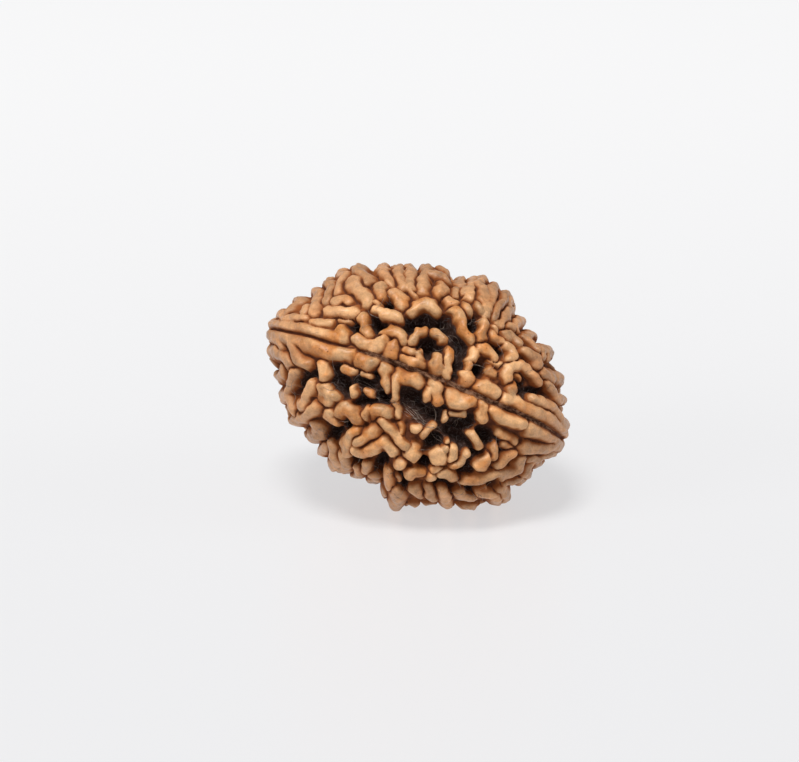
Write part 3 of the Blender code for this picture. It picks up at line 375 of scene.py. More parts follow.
@dataclass(frozen=True)
class BeadForm:
    """The plain skin through the crest tops, and how it stands on the table.

    Args:
        half_depth: Distance from the centre to either pole.
        fullness: Exponent of the section from outline to pole; more is squarer.
        rounding: Turns in degrees over which the outline is averaged.
        rim_limit: Share of the outline that a point lifted to the skin may reach.
        pole_pull: How far the relief's direction turns from the radius towards the poles.
        lean: Angle that the front face leans back.
        centre_height: Height of the centre over the table.
        centre_shift: Place of the centre over the table.
    """

    half_depth: float = 9.3
    fullness: float = 2.4
    rounding: tuple[float, ...] = (-2.0, -1.0, 0.0, 1.0, 2.0)
    rim_limit: float = 0.997
    pole_pull: float = 1.5
    lean: float = math.radians(20.0)
    centre_height: float = 9.62
    centre_shift: tuple[float, float] = (-0.087, -0.015)

    def outline_radius(self, x: np.ndarray, y: np.ndarray) -> np.ndarray:
        """Gives the distance from the centre to the crest tops in some directions.

        Args:
            x: Each direction's part to the right.
            y: Its part up the front face.

        Returns:
            The distances.
        """
        angles = [angle for angle, _ in OUTLINE]
        radii = [radius for _, radius in OUTLINE]
        degrees = np.degrees(np.arctan2(y, x))
        turns = [np.interp((degrees + turn) % 360, angles, radii, period=360) for turn in self.rounding]
        return np.mean(turns, axis=0)

    def reach(self, points: np.ndarray) -> np.ndarray:
        """Gives how far each point lies from the middle of the face, as a share of the outline there."""
        return np.hypot(points[:, 0], points[:, 1]) / self.outline_radius(points[:, 0], points[:, 1])

    def on_skin(self, directions: np.ndarray) -> np.ndarray:
        """Finds points of the skin.

        Args:
            directions: Their directions from the centre, of any length, one a row.

        Returns:
            The points.
        """
        directions = directions / np.linalg.norm(directions, axis=1)[:, None]
        deep = np.abs(directions[:, 2]) / self.half_depth
        size = (self.reach(directions) ** self.fullness + deep**self.fullness) ** (-1 / self.fullness)
        return directions * size[:, None]

    def lifted(self, flat: np.ndarray, side: Side) -> np.ndarray:
        """Moves points of the face seen from a pole along that line of sight onto the skin.

        Args:
            flat: The points' places on the face.
            side: The face.

        Returns:
            Their points on the skin.
        """
        flat = np.asarray(flat, float)
        reach = self.reach(flat)
        flat = flat * np.minimum(1, self.rim_limit / np.maximum(reach, self.rim_limit))[:, None]
        reach = np.minimum(reach, self.rim_limit)
        depth = self.half_depth * (1 - reach**self.fullness) ** (1 / self.fullness)
        return np.column_stack([flat, side.value * depth])

    def outward(self, points: np.ndarray) -> np.ndarray:
        """Gives the direction in which the relief rises at each point of the skin."""
        way = points * (1, 1, self.pole_pull)
        return way / np.linalg.norm(way, axis=1)[:, None]

    def on_table(self, points: np.ndarray) -> tuple[np.ndarray, np.ndarray]:
        """Measures points as the bead lies on the table.

        Args:
            points: Points in skin coordinates.

        Returns:
            Their places on the table, counted from the centre, and their heights above the centre.
        """
        back = points[:, 1] * math.sin(self.lean) - points[:, 2] * math.cos(self.lean)
        height = points[:, 1] * math.cos(self.lean) + points[:, 2] * math.sin(self.lean)
        return np.column_stack([points[:, 0], back]), height

    def centre(self) -> Vector:
        """Gives the bead's centre in the frame, in metres."""
        return Vector((*self.centre_shift, self.centre_height)) * MM

    def placement(self) -> Matrix:
        """Gives the matrix from skin coordinates in millimetres to the frame in metres."""
        upright = Matrix.Rotation(math.pi / 2 - self.lean, 4, "X")
        return Matrix.Translation(self.centre()) @ upright @ Matrix.Scale(MM, 4)

    def to_frame(self, points: np.ndarray) -> np.ndarray:
        """Gives points of the skin's coordinates as points of the frame."""
        matrix = np.array(self.placement())
        return points @ matrix[:3, :3].T + matrix[:3, 3]


def evenly_spaced(points: list[tuple[float, float]] | np.ndarray, step: float) -> np.ndarray:
    """Adds points to a path so that none is further than step from the next.

    Args:
        points: The path's own points, in any number of dimensions.
        step: The longest gap.

    Returns:
        All the points, one a row.
    """
    points = np.asarray(points, float)
    path = [points[:1]]
    for start, end in zip(points[:-1], points[1:]):
        count = max(1, math.ceil(np.linalg.norm(end - start) / step))
        shares = np.arange(1, count + 1)[:, None] / count
        path.append(start + (end - start) * shares)
    return np.concatenate(path)


def waves(points: np.ndarray, length: float, seed: int, count: int = 14) -> np.ndarray:
    """Smooth noise of about -1 to 1: a sum of sines with seeded directions and phases.

    Args:
        points: Points in skin coordinates.
        length: The usual wavelength.
        seed: Seed of the draw.
        count: How many sines are added.

    Returns:
        One value for each point.
    """
    draw = np.random.default_rng(seed)
    total = np.zeros(len(points))
    for _ in range(count):
        direction = draw.normal(size=3)
        direction *= 2 * math.pi * draw.uniform(0.7, 1.4) / (length * np.linalg.norm(direction))
        total += np.sin(points @ direction + draw.uniform(0, 2 * math.pi))
    return total / math.sqrt(count / 2) / 2


def smoothstep(value: np.ndarray, low: float, high: float) -> np.ndarray:
    """Rises smoothly from 0 at low to 1 at high."""
    share = np.clip((value - low) / (high - low), 0, 1)
    return share * share * (3 - 2 * share)


@dataclass(frozen=True)
class WormRule:
    """How short worms fill the skin that the listed crests leave bare.

    Args:
        seed: Seed of the draw.
        tries: How many starts are tried.
        radii: Range of a worm's radius.
        step: Distance between a worm's points.
        lengths: Range of its steps either way from its start.
        gap: Least distance between points of two worms.
        bend: Spread of the turn at each step, in radians.
        stray: Spread of a start's direction about the one to the pole, and how much that grows at the poles.
        top_drop: The most that a worm lies below the crest tops.
        front_limit: How far in front of the middle plane worms may grow.
    """

    seed: int = 7
    tries: int = 9000
    radii: tuple[float, float] = (0.40, 0.62)
    step: float = 0.42
    lengths: tuple[int, int] = (0, 8)
    gap: float = 1.16
    bend: float = 0.34
    stray: tuple[float, float] = (0.35, 1.2)
    top_drop: float = 0.28
    front_limit: float = 2.2


@dataclass(frozen=True)
class Furrows:
    """The furrows that cross the rim between its lobes.

    Args:
        width: Half width of a furrow.
        front: Where they start, in front of the rim.
        back: Where they end, behind it.
        sway: How far they sway behind the rim, in degrees.
    """

    width: float = 0.34
    front: float = 2.6
    back: float = -4.6
    sway: float = 3.0


@dataclass(frozen=True)
class BackLips:
    """The paired lips beside the seam near both ends of the back face.

    Args:
        radius: A lip's radius.
        offset: Its distance from the seam.
        starts: Distance along x from which the lips run out to the tips.
    """

    radius: float = 0.5
    offset: float = 0.68
    starts: float = 6.0


@dataclass(frozen=True)
class Footing:
    """The knobs that the bead lies on, and how the skin between them draws in.

    Args:
        places: Place of each knob on the table from the centre, to the right and away from the front.
        radii: Radius of each knob's crest.
        reach: How far a knob's swelling spreads.
        cut: How much of a knob the table takes off.
        belly_place: Where the underside draws in most.
        belly_reach: How far that spreads.
        belly_hollow: How deep it goes.
    """

    places: tuple[tuple[float, float], ...] = ((-1.9, -2.7), (4.1, -2.5), (0.3, 3.2))
    radii: tuple[float, ...] = (0.85, 0.7, 0.7)
    reach: float = 1.2
    cut: float = 0.2
    belly_place: tuple[float, float] = (1.6, 0.8)
    belly_reach: float = 4.5
    belly_hollow: float = 1.25

    def tops(self, form: BeadForm) -> np.ndarray:
        """Finds the knobs' tops.

        Args:
            form: The plain skin.

        Returns:
            The point of the skin at each knob, one a row.
        """
        places = np.array(self.places)
        y = places[:, 1] * math.sin(form.lean) - form.centre_height * math.cos(form.lean)
        z = -places[:, 1] * math.cos(form.lean) - form.centre_height * math.sin(form.lean)
        return form.on_skin(np.column_stack([places[:, 0], y, z]))

    def belly(self, place: np.ndarray) -> np.ndarray:
        """Gives how far the skin draws in at each place on the table."""
        apart = ((place - self.belly_place) ** 2).sum(axis=1)
        return self.belly_hollow * np.exp(-apart / self.belly_reach**2)

    def height(self, points: np.ndarray, form: BeadForm) -> np.ndarray:
        """Works out the height that the knobs and the belly add under the bead.

        Args:
            points: Points of the skin.
            form: The plain skin.

        Returns:
            The height added at each point.
        """
        place, height = form.on_table(points)
        added = -self.belly(place)
        tops = self.tops(form)
        foot_places, foot_heights = form.on_table(tops)
        fall = form.on_table(form.outward(tops))[1]
        swell = (-form.centre_height - self.cut - foot_heights) / fall + self.belly(foot_places)
        for foot, amount in zip(foot_places, swell):
            added += amount * np.exp(-((place - foot) ** 2).sum(axis=1) / self.reach**2)
        return np.where(height < 0, added, 0.0)


@dataclass
class CrestMap:
    """Every crest, hollow and seam line of the bead, as chains on its skin.

    The last four fields are worked out from the others.

    Args:
        form: The plain skin.
        footing: The knobs that the bead lies on.
        worms: The rule for the rest of the skin.
        back_lips: The lips on the back face.
        furrows: The furrows across the rim.
        step: Distance between points along a listed crest.
        seam_widens: Where along x the seam's groove widens.
        seam_width: Its half width before and after that.
        rim_near: Share of the outline beyond which a crest's end runs on over the rim.
        runs_on_to: How far behind the rim it runs on.
        runs_on_step: Distance between its points there.
        seams: The seam on the front face and on the back face.
        hollows: The dark hollows.
        rim_furrows: Each furrow across the rim, with its depth.
        crests: All the crests.
    """

    form: BeadForm
    footing: Footing
    worms: WormRule = field(default_factory=WormRule)
    back_lips: BackLips = field(default_factory=BackLips)
    furrows: Furrows = field(default_factory=Furrows)
    step: float = 0.3
    seam_widens: tuple[float, float] = (-5.0, 1.0)
    seam_width: tuple[float, float] = (0.13, 0.24)
    rim_near: float = 0.92
    runs_on_to: float = -1.8
    runs_on_step: float = 0.6
    seams: list[Chain] = field(init=False)
    hollows: list[Chain] = field(init=False)
    rim_furrows: list[tuple[float, Chain]] = field(init=False)
    crests: list[Chain] = field(init=False)

    def __post_init__(self) -> None:
        """Builds all chains once."""
        self.seams = [self._seam(SEAM_FRONT, Side.FRONT), self._seam(SEAM_BACK, Side.BACK)]
        self.hollows = [self._on_face(radius, points) for radius, points in HOLLOWS]
        self.hollows += [self._on_face(radius, points, side=Side.BACK) for radius, points in BACK_HOLLOWS]
        self.rim_furrows = [(depth, self._across_rim(angle)) for angle, depth in RIM_FURROWS]
        placed = [self._over_rim(self._on_face(radius, points)) for radius, points in HIGH_CRESTS]
        placed += [self._on_face(radius, points, -LOW_CREST_DROP) for radius, points in LOW_CRESTS]
        knobs = zip(self.footing.tops(self.form), self.footing.radii)
        placed += [Chain(top[None], np.array([radius])) for top, radius in knobs]
        placed += self._lips_on_back()
        self.crests = placed + self._worms(placed)

    def _on_face(
        self, radius: float | tuple[float, float], points: list, lift: float = 0.0, side: Side = Side.FRONT
    ) -> Chain:
        """Makes a chain from a path given on the face seen from a pole.

        Args:
            radius: The chain's radius, or its first and last.
            points: The path on the face.
            lift: How far the chain stands above or below the usual crest tops.
            side: The face.

        Returns:
            The chain.
        """
        flat = evenly_spaced(points, self.step)
        first, last = radius if isinstance(radius, tuple) else (radius, radius)
        return Chain(self.form.lifted(flat, side), np.linspace(first, last, len(flat)), lift)

    def _seam(self, line: list[tuple[float, float]], side: Side) -> Chain:
        """Makes the seam's chain, with its half width as radius."""
        flat = evenly_spaced(line, self.step)
        return Chain(self.form.lifted(flat, side), np.interp(flat[:, 0], self.seam_widens, self.seam_width))

    def _over_rim(self, chain: Chain) -> Chain:
        """Carries a crest of the front face on over the rim where one of its ends lies near it.

        Args:
            chain: The crest.

        Returns:
            The crest, carried on if it is near the rim.
        """
        reach = self.form.reach(chain.points)
        if reach[0] > reach[-1]:
            chain = Chain(chain.points[::-1], chain.radii[::-1], chain.lift)
        if max(reach[0], reach[-1]) < self.rim_near:
            return chain
        x, y, depth = chain.points[-1]
        depths = np.arange(depth - self.runs_on_step, self.runs_on_to, -self.runs_on_step)
        rim = np.array([x, y]) * self.form.outline_radius(x, y) / math.hypot(x, y)
        beyond = self.form.on_skin(np.column_stack([np.tile(rim, (len(depths), 1)), depths]))
        radii = np.append(chain.radii, np.full(len(depths), chain.radii[-1]))
        return Chain(np.concatenate([chain.points, beyond]), radii, chain.lift)

    def _across_rim(self, angle: float) -> Chain:
        """Makes one furrow across the rim.

        Args:
            angle: Where it crosses, in degrees.

        Returns:
            The furrow's chain.
        """
        depths = np.arange(self.furrows.back, self.furrows.front, self.step)
        turns = np.radians(angle + self.furrows.sway * np.sin(depths + angle) * np.clip(-depths, 0, 1))
        rim = np.column_stack([np.cos(turns), np.sin(turns)])
        rim *= self.form.outline_radius(*rim.T)[:, None]
        line = self.form.on_skin(np.column_stack([rim, depths]))
        return Chain(line, np.full(len(line), self.furrows.width))

    def _lips_on_back(self) -> list[Chain]:
        """Makes the paired lips at both ends of the back face.

        Returns:
            Their chains.
        """
        seam = evenly_spaced(SEAM_BACK, self.step)
        run = np.gradient(seam, axis=0)
        across = np.column_stack([-run[:, 1], run[:, 0]]) / np.linalg.norm(run, axis=1)[:, None]
        chains = []
        for end in (-1, 1):
            kept = end * seam[:, 0] > self.back_lips.starts
            for side in (-1, 1):
                lip = seam[kept] + side * self.back_lips.offset * across[kept]
                chains.append(self._on_face(self.back_lips.radius, lip, side=Side.BACK))
        return chains

    def _flow(self, point: np.ndarray, draw: random.Random) -> np.ndarray:
        """Draws a direction along the skin, roughly from pole to pole, less so near the poles.

        Args:
            point: The point of the skin where a worm starts.
            draw: The worms' draw.

        Returns:
            The direction.
        """
        outward = point / np.linalg.norm(point)
        to_pole = np.array([0.0, 0.0, 1.0]) - outward * outward[2]
        sideways = np.cross(outward, to_pole)
        least, at_poles = self.worms.stray
        turn = draw.gauss(0, least + at_poles * outward[2] ** 4)
        direction = to_pole * math.cos(turn) + sideways * math.sin(turn)
        return direction / np.linalg.norm(direction)

    def _grown(
        self, start: np.ndarray, way: np.ndarray, taken: np.ndarray, steps: int, draw: random.Random
    ) -> list[np.ndarray]:
        """Creeps along the skin until another chain, the front limit or the length is met.

        Args:
            start: Where the worm starts.
            way: The direction in which it sets out.
            taken: Points that other chains hold.
            steps: The most steps that it takes.
            draw: The worms' draw.

        Returns:
            The points that it passes, from its start.
        """
        path = [start]
        for _ in range(steps):
            outward = path[-1] / np.linalg.norm(path[-1])
            turn = draw.gauss(0, self.worms.bend)
            way = way * math.cos(turn) + np.cross(outward, way) * math.sin(turn)
            step = self.form.on_skin((path[-1] + self.worms.step * way)[None])[0]
            blocked = np.linalg.norm(taken - step, axis=1).min() < self.worms.gap
            if step[2] > self.worms.front_limit or blocked:
                break
            way = (step - path[-1]) / np.linalg.norm(step - path[-1])
            path.append(step)
        return path

    def _worms(self, placed: list[Chain]) -> list[Chain]:
        """Fills the skin that the placed chains leave bare.

        Args:
            placed: The chains that are there already.

        Returns:
            The worms' chains.
        """
        rule = self.worms
        draw = random.Random(rule.seed)
        taken = np.concatenate([chain.points for chain in placed] + [self.seams[1].points])
        hollows = np.concatenate([chain.points for chain in self.hollows])
        chains = []
        for _ in range(rule.tries):
            start = self.form.on_skin(np.array([[draw.gauss(0, 1) for _ in range(3)]]))[0]
            if start[2] > rule.front_limit:
                continue
            if np.linalg.norm(taken - start, axis=1).min() < rule.gap:
                continue
            if np.linalg.norm(hollows - start, axis=1).min() < rule.gap:
                continue
            way = self._flow(start, draw)
            steps = draw.randint(*rule.lengths)
            ahead = self._grown(start, way, taken, steps, draw)
            behind = self._grown(start, -way, taken, steps, draw)
            points = np.array(behind[:0:-1] + ahead)
            first, last = draw.uniform(*rule.radii), draw.uniform(*rule.radii)
            lift = -draw.uniform(0, rule.top_drop)
            chains.append(Chain(points, np.linspace(first, last, len(points)), lift))
            taken = np.concatenate([taken, points])
        return chains


@dataclass
class Surface:
    """What the relief is at each point of the skin, one row a point.

    Args:
        height: Height over the skin.
        aside: How far the point moves along the skin, to undercut the crests.
        depth: How deep the point lies below the crest tops, from 0 to 1.
        hollow: How far it lies in a dark hollow, from 0 to 1.
        side: Distance from the nearest crest's middle line, in half widths of the crest, halved.
        seam: How near it is to the seam line, from 0 to 1.
        crease: How near it is to the crease between two crests, from 0 to 1.
        tone: The crest's own tone, from -1 to 1.
    """

    height: np.ndarray
    aside: np.ndarray
    depth: np.ndarray
    hollow: np.ndarray
    side: np.ndarray
    seam: np.ndarray
    crease: np.ndarray
    tone: np.ndarray


@dataclass(frozen=True)
class Relief:
    """The formula that raises the skin along its chains, in millimetres.

    Args:
        floor_depth: Depth of the floor between crests.
        hollow_depth: How much deeper the dark hollows are.
        floor_roughness: Wavelength and height of the floor's own bumps.
        droop: How far a crest's rounded top falls to its edge, for each unit of radius.
        edges: Where the rounded top ends beside a hollow and away from one, for each unit of radius.
        hollow_edge: How near a hollow counts as beside it.
        power: Exponent of the rounded top.
        wall_slope: Slope of the wall where it starts.
        wall_curve: How much the wall steepens with distance.
        crease_depth: Depth of the thin crease where two crests meet.
        crease_width: Height difference over which that crease fades.
        crease_fades: Height over the floor below which it fades too.
        crease_starts: Height at which it starts, and at which it is full.
        crease_least: Share of its depth that it keeps where it is faintest.
        crease_varies: Wavelength of the noise that varies it, and the noise where it is faintest and full.
        stain_and_shade_width: Height difference over which the stain and painted shade round a crease fade.
        seam_depth: Depth of the seam's groove.
        warp: Wavelengths and amounts by which crests waver.
        bumps: Wavelengths and heights of the skin's own bumps.
        swelling: Wavelength and share by which a crest swells and thins.
        lips_from: Distance along x at which the front seam's straight lips start, and are in full.
        lip_reach: How far from the seam they lie.
        lip_calm: Share of the wavering and swelling that they are spared.
        undercut: How far the foot of a wall draws in under its crest.
        undercut_from: Depth below the crest where that starts, and where it is full.
        undercut_fades: Distance beyond the wall over which it fades.
        full_depth: Depth that counts as 1 for the material.
        floor_seed: Seed of the floor's bumps.
        swelling_seed: Seed of the swelling.
        crease_seed: Seed of the noise that creases vary by.
        bump_seed: Seed of the skin's first bumps. The others follow.
    """

    floor_depth: float = 0.9
    hollow_depth: float = 1.25
    floor_roughness: tuple[float, float] = (0.9, 0.12)
    droop: float = 1.05
    edges: tuple[float, float] = (1.15, 1.6)
    hollow_edge: float = 0.35
    power: float = 2.0
    wall_slope: float = 1.8
    wall_curve: float = 9.0
    crease_depth: float = 0.42
    crease_width: float = 0.13
    crease_fades: float = 0.3
    crease_starts: tuple[float, float] = (-0.04, -0.2)
    crease_least: float = 0.4
    crease_varies: tuple[float, float, float] = (1.6, -0.5, 0.6)
    stain_and_shade_width: float = 0.34
    seam_depth: float = 0.6
    warp: tuple[tuple[float, float], ...] = ((2.6, 0.16), (1.1, 0.09))
    bumps: tuple[tuple[float, float], ...] = ((1.7, 0.11), (0.75, 0.05), (0.32, 0.022))
    swelling: tuple[float, float] = (1.5, 0.20)
    lips_from: tuple[float, float] = (5.0, 6.5)
    lip_reach: float = 1.3
    lip_calm: float = 0.85
    undercut: float = 0.2
    undercut_from: tuple[float, float] = (0.3, 0.95)
    undercut_fades: float = 0.25
    full_depth: float = 1.6
    floor_seed: int = 5
    swelling_seed: int = 6
    crease_seed: int = 8
    bump_seed: int = 31

    def unrest(self, points: np.ndarray, seam: Chain) -> np.ndarray:
        """Tells how much crests waver and swell, which is hardly at all on the lips by the front seam.

        Args:
            points: Points in skin coordinates.
            seam: The front seam.

        Returns:
            The share of the full amount at each point.
        """
        distance = seam.nearest(points)[0]
        lips = np.exp(-((distance / self.lip_reach) ** 2))
        lips *= smoothstep(np.abs(points[:, 0]), *self.lips_from)
        return 1 - self.lip_calm * lips

    def warped(self, points: np.ndarray, unrest: np.ndarray) -> np.ndarray:
        """Moves points a little by noise, so that crests drawn from them waver.

        Args:
            points: Points in skin coordinates.
            unrest: The share of the full amount at each.

        Returns:
            The moved points.
        """
        moved = points.copy()
        for length, amount in self.warp:
            for axis in range(3):
                moved[:, axis] += unrest * amount * waves(points, length, seed=round(100 * length) + axis)
        return moved

    def crest_height(self, distance: np.ndarray, radius: np.ndarray, edge: np.ndarray) -> np.ndarray:
        """Works out one crest's height: zero on top, rounded as far as its edge, ever steeper beyond.

        Args:
            distance: Distance of each point from the crest's middle line.
            radius: The crest's radius there.
            edge: Where its rounded top ends.

        Returns:
            The height of each point.
        """
        rounded = -self.droop * radius * (np.minimum(distance, edge) / edge) ** self.power
        beyond = np.maximum(0, distance - edge)
        return rounded - self.wall_slope * beyond - self.wall_curve * beyond**2

    def closeness(self, points: np.ndarray, chains: list[Chain]) -> np.ndarray:
        """Tells how near points lie to chains.

        Args:
            points: Points in skin coordinates.
            chains: The chains.

        Returns:
            For each point, a measure from 0 to 1 of how near it is to any of them.
        """
        closest = np.zeros(len(points))
        for chain in chains:
            near = chain.near(points)
            distance, radius, _ = chain.nearest(points[near])
            closest[near] = np.maximum(closest[near], np.exp(-((distance / radius) ** 2)))
        return closest

    def _floor(self, points: np.ndarray, hollow: np.ndarray) -> np.ndarray:
        """Works out the floor between the crests.

        Args:
            points: Points of the plain skin.
            hollow: How far each lies in a hollow, from 0 to 1.

        Returns:
            The floor's height at each point.
        """
        length, amount = self.floor_roughness
        floor = -self.floor_depth - self.hollow_depth * hollow
        return floor + amount * waves(points, length, seed=self.floor_seed)

    def _bumps(self, points: np.ndarray) -> np.ndarray:
        """Works out the skin's own bumps.

        Args:
            points: Points of the plain skin.

        Returns:
            The bumps' height at each point.
        """
        height = np.zeros(len(points))
        for seed, (length, amount) in enumerate(self.bumps, self.bump_seed):
            height += amount * waves(points, length, seed=seed)
        return height

    def _between(
        self, points: np.ndarray, first: np.ndarray, second: np.ndarray, floor: np.ndarray
    ) -> np.ndarray:
        """Tells where two crests stand near enough for a crease between them.

        Args:
            points: Points of the plain skin.
            first: Height of the taller crest at each.
            second: Height of the one that is next in height.
            floor: Height of the floor.

        Returns:
            For each point, how strong a crease may be there, from 0 to 1.
        """
        shallow, full = self.crease_starts
        between = np.clip((second - floor) / self.crease_fades, 0, 1)
        between *= np.clip((first - shallow) / (full - shallow), 0, 1)
        length, faint, strong = self.crease_varies
        varied = smoothstep(waves(points, length, seed=self.crease_seed), faint, strong)
        return between * (self.crease_least + (1 - self.crease_least) * varied)

    def surface(self, points: np.ndarray, crests: CrestMap) -> Surface:
        """Works out the relief at points of the skin.

        Args:
            points: Points of the plain skin.
            crests: The bead's chains.

        Returns:
            The relief and its measures.
        """
        unrest = self.unrest(points, crests.seams[0])
        moved = self.warped(points, unrest)
        hollow = self.closeness(moved, crests.hollows)
        floor = self._floor(points, hollow)
        narrow, wide = self.edges
        edges = wide + (narrow - wide) * np.minimum(1, hollow / self.hollow_edge)
        length, amount = self.swelling
        swelling = 1 + unrest * amount * waves(points, length, seed=self.swelling_seed)
        # Heights of the tallest crest at each point and of the next, then measures of the nearest one
        first, second = floor.copy(), floor.copy()
        closest = np.full(len(points), np.inf)
        side = np.full(len(points), 2.0)
        axis = np.zeros_like(points)
        top = np.zeros(len(points))
        tone = np.zeros(len(points))
        tones = np.random.default_rng(crests.worms.seed).uniform(-1, 1, len(crests.crests))
        for chain, chain_tone in zip(crests.crests, tones):
            near = chain.near(moved)
            distance, radius, place = chain.nearest(moved[near])
            radius = radius * swelling[near]
            edge = radius * edges[near]
            height = self.crest_height(distance, radius, edge) + chain.lift
            second[near] = np.maximum(second[near], np.minimum(first[near], height))
            tallest = height > first[near]
            first[near[tallest]] = height[tallest]
            tone[near[tallest]] = chain_tone
            beyond = distance - edge
            closer = beyond < closest[near]
            won = near[closer]
            closest[won] = beyond[closer]
            side[won] = (distance / edge)[closer]
            axis[won] = (place - moved[near])[closer]
            top[won] = chain.lift
        between = self._between(points, first, second, floor)
        crease = between * np.exp(-(((first - second) / self.crease_width) ** 2))
        # The crease mask, where the material lays stain and painted shade
        crease_stain_and_shade = between * np.exp(-(((first - second) / self.stain_and_shade_width) ** 2))
        furrows = [depth * self.closeness(moved, [line]) for depth, line in crests.rim_furrows]
        lowered = first - self.crease_depth * crease - np.max(furrows, axis=0) + self._bumps(points)
        seam = self.closeness(moved, crests.seams)
        height = lowered + seam * (np.minimum(lowered, -self.seam_depth) - lowered)
        depth = np.clip(-height / self.full_depth, 0, 1)
        aside = self.drawn_in(top - first, closest, axis)
        height += crests.footing.height(points, crests.form)
        return Surface(height, aside, depth, hollow, side / 2, seam, crease_stain_and_shade, tone)

    def drawn_in(self, below: np.ndarray, beyond: np.ndarray, axis: np.ndarray) -> np.ndarray:
        """Works out how far the foot of each wall moves in under its crest.

        Args:
            below: How far each point lies below the nearest crest's top.
            beyond: How far it lies beyond that crest's edge.
            axis: The way from it to the crest's middle line.

        Returns:
            The move of each point.
        """
        length = np.linalg.norm(axis, axis=1)
        drawn = self.undercut * smoothstep(below, *self.undercut_from)
        drawn *= np.exp(-np.maximum(0, beyond) / self.undercut_fades)
        drawn = np.where(np.isfinite(beyond), drawn, 0.0)
        return axis * (np.minimum(drawn, length / 2) / np.maximum(length, 1e-6))[:, None]


def deselect() -> None:
    """Leaves edit mode and deselects everything."""
    if bpy.context.object and bpy.context.object.mode != "OBJECT":
        bpy.ops.object.mode_set(mode="OBJECT")
    bpy.ops.object.select_all(action="DESELECT")


def choose(obj: bpy.types.Object) -> None:
    """Makes one object the selected and active one.

    Args:
        obj: The object.
    """
    deselect()
    obj.select_set(True)
    bpy.context.view_layer.objects.active = obj


Number = float | int
Colour = tuple[float, float, float]

# Sockets that go by number: an attribute's value, the place on the object, and the Mix node's colours
VALUE_OUT = 2
OBJECT_OUT = 3
MIX_FIRST, MIX_SECOND, MIX_OUT = 6, 7, 2


class Wire:
    """A value in a material's node tree, whose Python operators add Math nodes."""

    def __init__(self, tree: "NodeTree", socket: bpy.types.NodeSocket) -> None:
        """Keeps the tree and the socket.

        Args:
            tree: The tree that the value belongs to.
            socket: The output that carries it.
        """
        self.tree = tree
        self.socket = socket

    def _math(self, operation: str, first: "Wire | Number", second: "Wire | Number") -> "Wire":
        """Adds one Math node and gives its result."""
        return self.tree.node("ShaderNodeMath", {"operation": operation}, {0: first, 1: second})[0]

    def __add__(self, other: "Wire | Number") -> "Wire":
        """Adds."""
        return self._math("ADD", self, other)

    def __sub__(self, other: "Wire | Number") -> "Wire":
        """Subtracts."""
        return self._math("SUBTRACT", self, other)

    def __rsub__(self, other: Number) -> "Wire":
        """Subtracts this from a number."""
        return self._math("SUBTRACT", other, self)

    def __mul__(self, other: "Wire | Number") -> "Wire":
        """Multiplies."""
        return self._math("MULTIPLY", self, other)

    __radd__ = __add__
    __rmul__ = __mul__

    def between(self, low: float, high: float) -> "Wire":
        """Adds a smooth step, which rises from 0 to 1, or falls where low is the larger.

        Args:
            low: The value that gives 0.
            high: The value that gives 1.

        Returns:
            The step.
        """
        settings = {"interpolation_type": "SMOOTHSTEP"}
        values = {0: self, 1: min(low, high), 2: max(low, high), 3: float(low > high), 4: float(high > low)}
        return self.tree.node("ShaderNodeMapRange", settings, values)[0]


